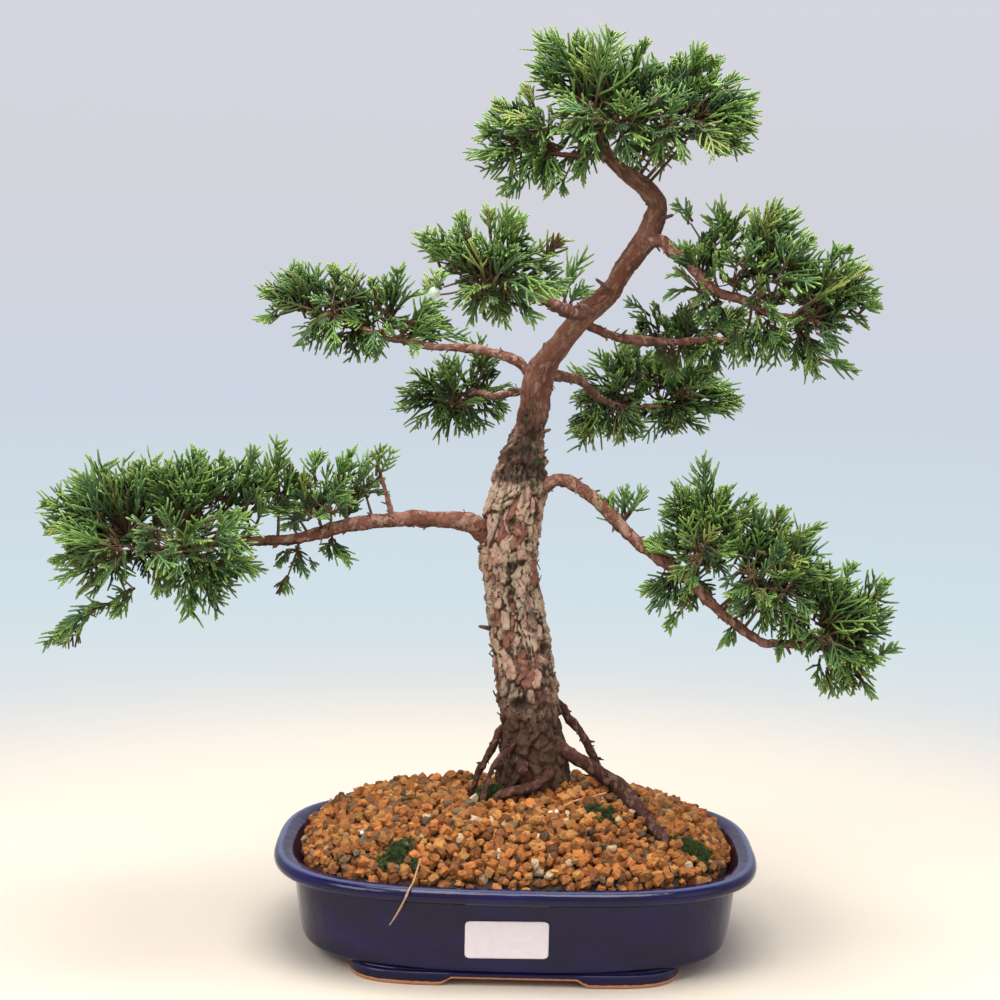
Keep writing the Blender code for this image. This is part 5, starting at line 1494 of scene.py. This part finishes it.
# Tufts of each pad: middle (x, y, height above the lip) and reach in millimetres, lean to the right and up.
TUFTS: dict[str, list[Tuft]] = {
    "foliage_lower_left_tip": [
        (-200, -36, 174, 26, -0.2, 0.8), (-219, -30, 168, 22, -0.8, 0.4), (-208, -50, 158, 22, -0.8, -0.1),
        (-197, -20, 178, 20, -0.2, 0.9), (-214, -30, 145, 18, -0.7, -0.5), (-187, -30, 149, 18, 0, -0.8),
        (-206, -12, 161, 20, -0.4, 0.2)],
    "foliage_lower_left_mid": [
        (-167, -38, 181, 23, 0, 1), (-174, -62, 162, 22, -0.3, 0.1), (-151, -55, 164, 20, 0.6, 0),
        (-149, -30, 184, 18, 0.1, 0.9), (-161, -40, 145, 21, 0.2, -0.8), (-142, -30, 147, 15, 0.8, -0.4),
        (-175, -8, 166, 21, 0, 0.3), (-136, -34, 181, 18, 0.3, 0.8)],
    "foliage_lower_left_inner": [
        (-123, -28, 185, 18, 0, 0.8), (-102, -30, 186, 19, 0.1, 0.8), (-87, -12, 185, 17, 0.4, 0.7),
        (-93, -45, 179, 14, 0.3, 0.2), (-115, -22, 149, 13, -0.2, -0.8), (-95, -16, 155, 12, 0.3, -0.8),
        (-115, -4, 170, 17, 0, 0.3), (-76, 4, 181, 12, 0.8, 0.3)],
    "foliage_upper_left_tip": [
        (-114, 26, 279, 20, -0.4, 0.8), (-125, 34, 277, 17, -1, 0.2), (-96, 30, 279, 19, 0.1, 0.9),
        (-105, 20, 266, 18, -0.3, -0.7), (-90, 34, 260, 16, 0.2, -0.6)],
    "foliage_upper_left_inner": [
        (-71, 30, 275, 18, 0.2, 0.8), (-60, 22, 265, 17, 0.6, 0.3), (-76, 20, 261, 15, 0, -0.3),
        (-46, 34, 264, 14, 0.7, 0.4), (-85, 36, 269, 16, -0.2, 0.6)],
    "foliage_left_back": [
        (-52, 75, 226, 20, -0.7, 0.1), (-38, 66, 230, 20, 0, 0.6), (-35, 80, 217, 19, 0.2, -0.8),
        (-22, 70, 240, 16, 0.5, 0.7), (-19, 78, 224, 15, 0.8, -0.2)],
    "foliage_front_tuft": [
        (-19, -98, 298, 17, 0, 0.9), (-32, -92, 302, 17, -0.8, 0.5), (-6, -94, 302, 17, 0.7, 0.6),
        (-28, -100, 288, 16, -0.6, -0.4), (-7, -100, 287, 16, 0.6, -0.5), (-18, -90, 284, 16, 0, -0.9),
        (-19, -80, 296, 17, 0, 0.3), (4, -88, 294, 14, 0.9, 0.2)],
    "foliage_apex_left": [
        (-6, 0, 369, 19, -0.7, 0.5), (-14, -10, 356, 17, -0.9, -0.2), (6, -8, 352, 18, -0.4, -0.8),
        (3, -20, 366, 18, -0.3, 0.2), (-1, 16, 363, 17, -0.5, -0.1)],
    "foliage_apex_crown": [
        (20, 0, 392, 24, -0.6, 0.9), (32, -16, 388, 22, 0, 0.9), (53, 0, 385, 22, 0.3, 0.9),
        (27, -26, 371, 20, -0.3, -0.2), (45, -22, 367, 20, 0.2, -0.3), (24, -6, 357, 17, -0.3, -0.8),
        (34, 24, 381, 23, 0, 0.5), (55, 14, 364, 19, 0.3, -0.7), (62, -20, 377, 19, 0.4, 0.2)],
    "foliage_apex_right": [
        (78, 0, 386, 21, 0.4, 0.9), (90, -10, 378, 20, 0.9, 0.4), (82, -18, 365, 18, 0.5, -0.4),
        (72, 18, 392, 20, 0.2, 0.9), (68, -22, 368, 18, 0.1, -0.3), (96, 6, 374, 18, 1, -0.1)],
    "foliage_mid_right": [
        (86, 40, 269, 19, 0.1, 0.7), (65, 44, 269, 16, -0.4, 0.6), (77, 44, 255, 16, 0, -0.8),
        (100, 42, 259, 17, 0.4, -0.6), (108, 50, 272, 16, 0.6, 0.4)],
    "foliage_upper_right_inner": [
        (85, -12, 305, 17, -0.1, 0.9), (96, -10, 314, 17, 0.1, 1), (80, -16, 289, 14, -0.6, -0.2),
        (104, -22, 300, 18, 0.3, 0.6), (94, -10, 278, 14, 0, -0.8)],
    "foliage_upper_right_mid": [
        (119, -20, 310, 19, 0.1, 1), (127, -30, 301, 19, 0.5, 0.7), (113, -30, 285, 16, 0, -0.2),
        (120, -20, 268, 16, 0.2, -0.8), (110, -4, 262, 15, -0.1, -0.9), (130, 0, 290, 18, 0.3, 0.4)],
    "foliage_upper_right_tip": [
        (143, -30, 291, 20, 0.6, 0.7), (155, -28, 286, 18, 1, 0.2), (145, -34, 274, 18, 0.7, -0.4),
        (138, -22, 263, 16, 0.3, -0.8), (142, -8, 280, 18, 0.6, 0.1), (152, -26, 294, 16, 0.8, 0.7)],
    "foliage_right_back_inner": [
        (41, 78, 228, 21, -0.6, -0.2), (36, 80, 217, 18, -0.5, -0.8), (55, 74, 243, 19, -0.1, 0.8),
        (59, 88, 225, 19, 0.1, -0.3), (51, 66, 216, 16, 0, -0.9)],
    "foliage_right_back_tip": [
        (79, 95, 231, 21, 0.2, 0.6), (99, 98, 225, 20, 1, 0.2), (81, 90, 217, 19, 0.2, -0.8),
        (73, 100, 239, 19, -0.1, 0.8), (91, 84, 235, 18, 0.6, 0.5)],
    "foliage_lower_right_inner": [
        (84, -22, 174, 19, -0.3, 0.9), (95, -30, 173, 20, 0.1, 0.9), (76, -30, 163, 15, -0.8, 0.3),
        (87, -44, 160, 18, 0, -0.1), (107, -20, 169, 19, 0.5, 0.8), (74, -22, 138, 15, -0.6, -0.8),
        (85, -20, 137, 14, 0.1, -0.9), (99, 0, 157, 19, 0.1, 0.2)],
    "foliage_lower_right_mid": [
        (120, -36, 163, 21, 0.3, 0.8), (132, -44, 154, 21, 0.6, 0.6), (111, -52, 150, 19, -0.1, -0.2),
        (131, -50, 140, 18, 0.3, -0.4), (119, -30, 136, 17, 0, -0.6), (131, -12, 156, 19, 0.4, 0.6),
        (139, -36, 122, 15, 0.1, -0.8), (147, -30, 141, 18, 0.6, 0.7)],
    "foliage_lower_right_tip": [
        (155, -44, 134, 20, 0.4, 0.8), (168, -44, 124, 19, 0.9, 0.4), (163, -46, 112, 18, 0.6, -0.6),
        (149, -56, 119, 17, 0.1, -0.4), (171, -30, 129, 17, 0.8, 0.6), (159, -40, 104, 16, 0.2, -1),
        (160, -20, 117, 18, 0.4, 0)],
}
# Long loose sprays that stand out of a pad: root and tip, each (x, y, height above the lip) in millimetres.
LOOSE: dict[str, list[tuple[float, ...]]] = {
    "foliage_lower_left_tip": [
        (-194.7, -36, 136, -206.7, -37, 126), (-205, -37, 127, -216, -38, 123),
        (-214, -38, 124, -228, -38, 112.5), (-225, -38, 114, -239, -38, 106),
        (-222, -38, 117, -232, -38, 105), (-210, -37, 125, -221, -36, 118),
        (-196.7, -36, 131, -204.3, -36, 120), (-226.7, -30, 175, -238.5, -30, 178),
        (-188, -36, 188, -192, -36, 199), (-214, -36, 182, -221, -36, 189),
        (-226, -34, 152, -237, -34, 148), (-226, -34, 163, -239, -34, 165)],
    "foliage_lower_left_mid": [
        (-162.9, -36, 188.2, -161.5, -36, 206.6), (-178.3, -36, 185.3, -183.2, -36, 201.2),
        (-137.4, -34, 193.5, -136, -34, 207.5), (-165.2, -40, 136, -166.1, -40, 122.9),
        (-152, -36, 190, -150, -36, 205), (-150, -45, 150, -129.8, -45, 143.8),
        (-171, -36, 186, -172, -36, 199), (-180, -40, 140, -184, -40, 129)],
    "foliage_lower_left_inner": [
        (-125, -30, 190, -122.6, -30, 211.9), (-105, -28, 192, -104, -28, 206),
        (-118, -26, 142, -121, -26, 132), (-92, -26, 190, -88, -26, 202)],
    "foliage_apex_left": [
        (-16.4, 0, 364, -27.5, 0, 369.6), (-10, -4, 372, -19, -4, 382), (0, -4, 376, -4, -4, 388),
        (-16, -6, 354, -27, -6, 353), (-6, -10, 342, -14, -10, 334)],
    "foliage_apex_crown": [
        (12.7, 0, 400, 2.9, 0, 414), (24, 0, 403, 22, 0, 415), (36, 0, 404, 38, 0, 416),
        (51, 0, 400, 56, 0, 412), (16, -10, 342, 10, -10, 334), (12, 0, 392, -2, 0, 399)],
    "foliage_apex_right": [
        (77.9, 0, 393.1, 81.8, 0, 408.9), (85.4, 0, 393.3, 92.9, 0, 406.2),
        (94.2, 0, 386.1, 102.7, 0, 397.6), (101.3, 0, 370.1, 116.2, 0, 374.3), (100, 0, 378, 112, 0, 385),
        (68, 0, 393, 69, 0, 405), (96, -4, 362, 107, -4, 357)],
    "foliage_front_tuft": [
        (-19.5, -95, 314.1, -18.9, -95, 327.5), (-42.2, -92, 301.3, -51.2, -92, 314.7),
        (3.7, -92, 302.3, 12.1, -92, 312.5), (-30, -94, 312, -34, -94, 324), (-8, -96, 311, -5, -96, 322.5),
        (-40, -96, 290, -50, -96, 287), (6, -94, 291, 15, -94, 288), (-14, -97, 310, -12, -97, 325)],
    "foliage_upper_left_tip": [
        (-127.4, 34, 279, -142, 34, 282.8), (-118, 30, 287, -121, 30, 297),
        (-100, 30, 287, -100, 30, 297.5), (-130, 32, 270, -139, 32, 266)],
    "foliage_upper_left_inner": [
        (-69.4, 30, 279.4, -68.1, 30, 296.6), (-56, 24, 271, -46, 24, 279), (-80, 30, 281, -82, 30, 292)],
    "foliage_lower_right_inner": [
        (93, -30, 184, 91.2, -30, 210.3), (73.7, -22, 140.9, 60, -22, 134.3), (80, -26, 181, 77, -26, 193),
        (78, -30, 130, 72, -30, 119), (99, -30, 180, 102, -30, 193), (70, -28, 160, 60, -28, 165)],
    "foliage_lower_right_mid": [
        (107.4, -30, 122, 102, -30, 111), (125, -34, 172, 129, -34, 183), (138, -36, 166, 145, -36, 175),
        (128, -40, 118, 129, -40, 107)],
    "foliage_lower_right_tip": [
        (175.8, -44, 109.3, 186, -44, 118), (167.7, -44, 101.5, 175.3, -44, 91),
        (172, -42, 140, 181, -42, 149), (152, -44, 103, 152, -44, 92), (160, -40, 147, 165, -40, 157)],
    "foliage_upper_right_inner": [
        (97.1, -12, 314.3, 94.9, -12, 331.6), (80, -10, 322, 76, -10, 330), (88, -14, 281, 84, -14, 272)],
    "foliage_upper_right_mid": [
        (109.6, -20, 312.2, 121.7, -20, 332.5), (120, -22, 318, 127, -22, 330),
        (130, -26, 309, 139, -26, 316), (120, -26, 271, 121, -26, 261)],
    "foliage_upper_right_tip": [
        (160.2, -30, 282.6, 172, -30, 284.9), (144.1, -30, 257.7, 160, -30, 252.5),
        (158, -28, 296, 167, -28, 303), (150, -26, 306, 157, -26, 314)],
    "foliage_right_back_tip": [
        (109.9, 98, 222.7, 124, 98, 227), (100, 98, 238, 107, 98, 247)],
    "foliage_mid_right": [
        (100, 40, 266, 114, 40, 272), (60, 34, 262, 52, 34, 256)],
}
# Small free sprays on the limbs, likewise, with the pad each is counted to.
WOODLAND: dict[str, list[tuple[float, ...]]] = {
    "foliage_lower_right_inner": [
        (50.1, -16, 172, 41.1, -13, 186), (50.1, -16, 172.5, 49.6, -13, 190.3),
        (51.1, -16, 172, 57.8, -13, 188.4)],
    "foliage_front_tuft": [
        (16.8, -22, 279, 29.5, -20, 310.4), (19.2, -20, 280, 30.6, -20, 290), (-22, -88, 300, -8, -94, 321),
        (-43.7, -119.5, 286.8, -40, -114, 299)],
    "foliage_lower_left_inner": [
        (-73.5, -15, 192, -69.8, -15, 208)],
}


@dataclass(frozen=True)
class Pad:
    """A pad of scale foliage: tufts of flat sprays of cords, carried by brown twigs.

    Density is in sprays a square millimetre of a tuft's reach; the shortest and longest sprays are shares
    of that reach; leaning is the share of sprays that lean with their tuft. Each listed single spray
    is made single_copies times and gets a twig of up to stray_gap from the nearest tuft, unless it starts
    within chain_gap of the tip of another.
    """

    name: str
    tufts: Array
    seed: int
    density: float = 0.054
    shortest: float = 0.42
    longest: float = 1.06
    leaning: float = 0.72
    single_copies: int = 2
    stray_gap: float = 0.030
    chain_gap: float = 0.006
    cord: float = 0.00068
    axis_cord: float = 0.00076
    twig: float = 0.0009
    stalk: float = 0.00045
    stray_twig: float = 0.00065

    def strays(self) -> Array:
        """Root and tip of the pad's listed single sprays, in metres."""
        return np.reshape(LOOSE.get(self.name, []) + WOODLAND.get(self.name, []), (-1, 6)) / MM

    def sprays(self, rng: np.random.Generator) -> tuple[Array, Array, Array, Array]:
        """Place all sprays of the pad.

        Args:
            rng: Source of the random places.
        Returns:
            Roots; tips; how deep inside its tuft each spray is; and its tuft's number, -1 for a single one.
        """
        roots, tips, deep, tuft = [], [], [], []
        for number, (x, y, z, reach, lean_x, lean_z) in enumerate(self.tufts):
            centre = np.array([x, y, z + LIP])
            lean = np.array([lean_x, 0.0, lean_z])
            count = int(self.density * (reach * MM) ** 2)
            spread = 1.15 * (rng.uniform(size=(count, 1)) < self.leaning)
            out = unit(rng.normal(size=(count, 3)) * [1.0, 0.85, 0.9] + spread * lean)
            length = reach * rng.uniform(self.shortest, self.longest, count)[:, None]
            inner = centre - 0.50 * reach * lean
            root = inner + out * reach * rng.uniform(0.0, 0.45, count)[:, None] \
                + rng.normal(size=(count, 3)) * reach * 0.16
            roots.append(root)
            tips.append(centre + out * length + rng.normal(size=(count, 3)) * reach * 0.10)
            deep.append(1 - np.clip((length[:, 0] / reach - self.shortest) / 0.60, 0, 1))
            tuft.append(np.full(count, number))
        for stray in self.strays():
            root, tip = (place[None] + [0, 0, LIP] for place in (stray[:3], stray[3:]))
            for _ in range(self.single_copies):
                roots.append(root + rng.normal(size=(1, 3)) * 0.0010)
                tips.append(root + (tip - root) * rng.uniform(0.82, 1.0)
                            + rng.normal(size=(1, 3)) * [0.002, 0.004, 0.001])
                deep.append(np.zeros(1))
                tuft.append(np.full(1, -1))
        return np.concatenate(roots), np.concatenate(tips), np.concatenate(deep), np.concatenate(tuft)

    def build(self, limb: Track) -> None:
        """Make the pad and hand it over in place of its CAD solid.

        Args:
            limb: The limb that carries it.
        """
        rng = np.random.default_rng(self.seed)
        root, tip, deep, tuft = self.sprays(rng)
        count = len(root)
        run = tip - root
        length = np.linalg.norm(run, axis=1)
        bow = rng.normal(size=(count, 3)) * 0.10 + [0, 0, 0.13]
        bend = (root + tip) / 2 + bow * length[:, None]
        tone = rng.uniform(size=count)
        dead = rng.uniform(size=count) < 0.006
        shell = Shell()
        ahead = unit(run)
        flat = unit(np.cross(ahead, unit(rng.normal(size=(count, 3)) * 0.55 + [0, -0.35, 0.8])))
        axis, cord = np.full(count, self.axis_cord), np.full(count, self.cord)
        self.cords(shell, rng, root, bend, tip, axis, 6, 6, tone, deep, dead, 0.0, 0.5)
        for step, share in enumerate((0.20, 0.30, 0.40, 0.50, 0.60, 0.70, 0.80, 0.90)):
            side = 1 if step % 2 else -1
            at = np.clip(share + rng.uniform(-0.05, 0.05, count), 0.1, 0.97)[:, None]
            base = (1 - at) ** 2 * root + 2 * at * (1 - at) * bend + at**2 * tip
            path = unit((1 - at) * (bend - root) + at * (tip - bend))
            angle = rng.uniform(0.60, 0.90, count)[:, None]
            twist = unit(flat * side + rng.normal(size=(count, 3)) * 0.32)
            out = unit(path * np.cos(angle) + twist * np.sin(angle))
            reach = (0.46 * (1 - at[:, 0]) + 0.20) * length * rng.uniform(0.75, 1.2, count)
            end = base + out * reach[:, None]
            mid = base + out * reach[:, None] * 0.5 - path * reach[:, None] * 0.10
            end = end + path * reach[:, None] * 0.16
            self.cords(shell, rng, base, mid, end, cord, 4, 4, tone, deep, dead, share, 1.0)
            if step < 6:
                keep = rng.uniform(size=count) < 0.75 - 0.3 * deep
                twig_base = ((base + mid) / 2 * 0.4 + mid * 0.6)[keep]
                spread = unit(out * 0.75 + path * rng.uniform(-0.1, 0.7, (count, 1)) - twist * 0.25
                              + rng.normal(size=(count, 3)) * 0.28)[keep]
                small = (reach * rng.uniform(0.36, 0.56, count))[keep, None]
                self.cords(shell, rng, twig_base, twig_base + spread * small * 0.5,
                           twig_base + spread * small, cord[keep] * 0.92, 4, 3,
                           tone[keep], deep[keep], dead[keep], share + 0.15, 1.0)
        self.twigs(shell, rng, limb, root, tuft)
        piece = shell.piece(self.name + "_sprays")
        BENCH.hand_over(piece, Stuff.LEAF.value, "foliage", self.name)

    def cords(self, shell: Shell, rng: np.random.Generator, start: Array, bend: Array, finish: Array,
              thick: Array, sides: int, rings: int, tone: Array, deep: Array, dead: Array,
              along: float, green: float) -> None:
        """Add one cord to every spray.

        Args:
            shell: Where they go.
            rng: Source of turns.
            start: Start of each cord.
            bend: Its middle point.
            finish: Its end.
            thick: Its radius at the start.
            sides: Points round it.
            rings: Rings along it.
            tone: Each spray's own number.
            deep: How far inside its tuft each spray is.
            dead: Which sprays are brown.
            along: How far up the spray the cord leaves it.
            green: 1 for a green cord; less for one whose base is woody.
        """
        points, quads, tris, share = fronds(start, bend, finish, thick, thick * 0.70, sides, rings, rng)
        length = np.linalg.norm(finish - start, axis=1)
        scales = share[None] * (length / 0.0016)[:, None] + tone[:, None] * 7
        turn = np.tile(np.linspace(0, 2 * math.pi, sides, endpoint=False), rings)
        side = np.concatenate([np.cos(2 * turn), [0, 0]])[None] + 0 * scales
        fresh = np.clip(share[None] ** 1.5 * (0.45 + 0.55 * along) * (1.1 - 0.9 * deep[:, None])
                        + rng.normal(size=(len(start), 1)) * 0.12, 0, 1)
        woody = np.clip(1 - share[None] / green * 0.8, 0, 1) * (green < 1)
        wood = np.maximum(dead[:, None] * 1.0, woody)
        # painted shade: darker for sprays deep inside their tuft and towards each cord's base
        shade = np.clip(deep[:, None] * 0.8 + (1 - share[None]) * 0.35 - along * 0.15, 0, 1)
        shell.add(points, quads, tris,
                  cord=np.stack([scales, side, fresh], axis=-1),
                  tone=np.stack([tone[:, None] + 0 * scales, wood + 0 * scales, shade], axis=-1))

    def twigs(self, shell: Shell, rng: np.random.Generator, limb: Track, root: Array,
              tuft: Array) -> None:
        """Brown twigs from the limb to every tuft, and from there to the roots of the sprays.

        Args:
            shell: Where they go.
            rng: Source of wobble.
            limb: The limb that carries the pad.
            root: Where each spray starts.
            tuft: Which tuft each spray is in.
        """
        ends, starts, thick = [], [], []
        for number, (x, y, z, reach, lean_x, lean_z) in enumerate(self.tufts):
            hub = np.array([x, y, z + LIP]) - 0.55 * reach * np.array([lean_x, 0, lean_z])
            starts.append(limb.centre[limb.nearest(hub)])
            ends.append(hub)
            thick.append(self.twig)
            own = root[tuft == number]
            starts += [hub] * len(own)
            ends += list(own)
            thick += [self.stalk] * len(own)
        hubs = np.array(starts)
        strays = self.strays()
        for stray in strays:
            seat = stray[:3] + [0, 0, LIP]
            gap = np.linalg.norm(hubs - seat, axis=1)
            chained = any(math.dist(stray[:3], other[3:]) < self.chain_gap for other in strays)
            if gap.min() < self.stray_gap and not chained:
                starts.append(hubs[gap.argmin()])
                ends.append(seat)
                thick.append(self.stray_twig)
        starts, ends, thick = np.array(starts), np.array(ends), np.array(thick)
        middle = (starts + ends) / 2 + rng.normal(size=starts.shape) * 0.0012 - [0, 0, 0.0010]
        points, quads, tris, _ = fronds(starts, middle, ends, thick, thick * 0.7, 5, 4, rng)
        shell.add(points, quads, tris, cord=(0.0, 0.0, 0.0), tone=(0.4, 1.0, 0.3))


# ---------------------------------------------------------------- small pieces
@dataclass(frozen=True)
class Trifle:
    """One small loose thing: a tapered stem along listed points."""

    name: str
    route: Route
    stuff: Stuff
    slot: str
    replaces: str

    def build(self) -> None:
        """Make it."""
        track = Track.along(self.route, 0.0004, LIP)
        rays = track.rays(14)
        skin = track.centre[:, None] + rays * track.radius[:, None, None]
        rings = skin + rays * cloud(skin, 0.002, 3)[..., None] * track.radius[:, None, None] * 0.25
        shell = Shell()
        shell.add_tube(rings, track.centre[0] - track.ahead[0] * track.radius[0] * 0.6,
                       track.centre[-1] + track.ahead[-1] * track.radius[-1])
        BENCH.hand_over(shell.piece(self.name), self.stuff.value, self.slot, self.replaces)


def berry(centre: tuple[float, float, float], radius: float) -> None:
    """Pale seed cone: a ball with low bumps where its scales meet."""
    turn = np.linspace(0, 2 * math.pi, 40, endpoint=False)[None]
    tilt = np.linspace(-math.pi / 2, math.pi / 2, 26)[1:-1, None]
    ball = np.stack([np.cos(tilt) * np.cos(turn), np.cos(tilt) * np.sin(turn), np.sin(tilt) + 0 * turn],
                    axis=-1)
    bumps = cloud(ball, 0.8, 4) * 0.08 + np.maximum(np.cos(3 * turn) * np.cos(tilt), 0) * 0.07
    place = np.array(centre) + [0, 0, LIP]
    shell = Shell()
    rings = place + ball * (radius * (1 + bumps))[..., None]
    shell.add_tube(rings, place - [0, 0, radius], place + [0, 0, radius])
    BENCH.hand_over(shell.piece("seed_cone"), Stuff.BERRY.value, "berry", "berry")


TRIFLES = (
    Trifle("copper_stem", [(24, -27, 26.2, 0.6), (30, -23.5, 27.8, 0.6), (37, -19, 28.4, 0.6),
                           (46, -14, 29.6, 0.5)], Stuff.STEM, "dry_stem", "dry_stem"),
    Trifle("brown_needle", [(-48, -67, 6.8, 0.5), (-50, -77, 1.4, 0.5), (-51.2, -83.5, 0.7, 0.5),
                            (-52, -86.5, -0.2, 0.5), (-53, -87.6, -2.5, 0.5), (-55, -87.5, -7, 0.5),
                            (-58, -86.6, -13, 0.4), (-61, -85.7, -18, 0.3)],
           Stuff.NEEDLE, "dry_stem", "dry_needle"),
)


# ---------------------------------------------------------------- whole object
MOSS_PATCHES = {
    "moss_right": Patch(0.0420, -0.0290, 0.0092),
    "moss_front_right": Patch(0.0910, -0.0390, 0.0095),
    "moss_front_left": Patch(-0.0580, -0.0600, 0.0095),
}
DARK_PATCHES = (
    Patch(-0.0200, -0.0120, 0.0120), Patch(-0.0800, -0.0250, 0.0100),
    Patch(0.0700, -0.0450, 0.0100), Patch(-0.0350, -0.0500, 0.0100),
    Patch(0.0200, 0.0350, 0.0120))


def limb_name(pad: str) -> str:
    """Name of the limb that carries a pad: the pad's own, less its place on the limb."""
    name = pad.replace("foliage", "limb")
    for place in ("_tip", "_mid", "_inner", "_tuft"):
        name = name.removesuffix(place)
    return name


CARRIED_OVER = {"soil": Stuff.SOIL, "drain_screen_left": Stuff.PLASTIC, "drain_screen_right": Stuff.PLASTIC}


def dress_slots() -> None:
    """Give the carried-over nodes their procedural finishes."""
    for node, stuff in CARRIED_OVER.items():
        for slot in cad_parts[node].material_slots:
            slot.material = stuff.value.surface
        log.info("%s: finish %s", node, stuff.value.name)


def main() -> None:
    """Build every sub-assembly in order, then the studio."""
    logging.basicConfig(level=logging.INFO, format="%(name)s: %(message)s")
    pot = Pot()
    pot.build()
    Label().build(pot)
    trunk = Trunk().build()
    tracks = {name: Branch(name, route).build() for name, route in LIMBS.items()}
    roots = [Branch(name, route, slot="root_bark", lumps=0.24).build() for name, route in ROOTS.items()]
    bed = Bed()
    patches = (*MOSS_PATCHES.values(), *DARK_PATCHES)
    Grains(bed, patches).build(trunk, roots)
    for name, patch in MOSS_PATCHES.items():
        Moss(name + "_cushion", patch, bed).build(name)
    Moss("moss_trunk_foot", Patch(-0.0135, -0.0080, 0.0085), bed, height=0.0040).build()
    for seed, (name, tufts) in enumerate(TUFTS.items()):
        Pad(name, np.array(tufts) / [MM, MM, MM, MM, 1, 1], seed).build(tracks.get(limb_name(name), trunk))
    berry((-0.0437, -0.1203, 0.2880), 0.0026)
    for trifle in TRIFLES:
        trifle.build()
    dress_slots()
    Studio().build()


if __name__ == "__main__":
    main()
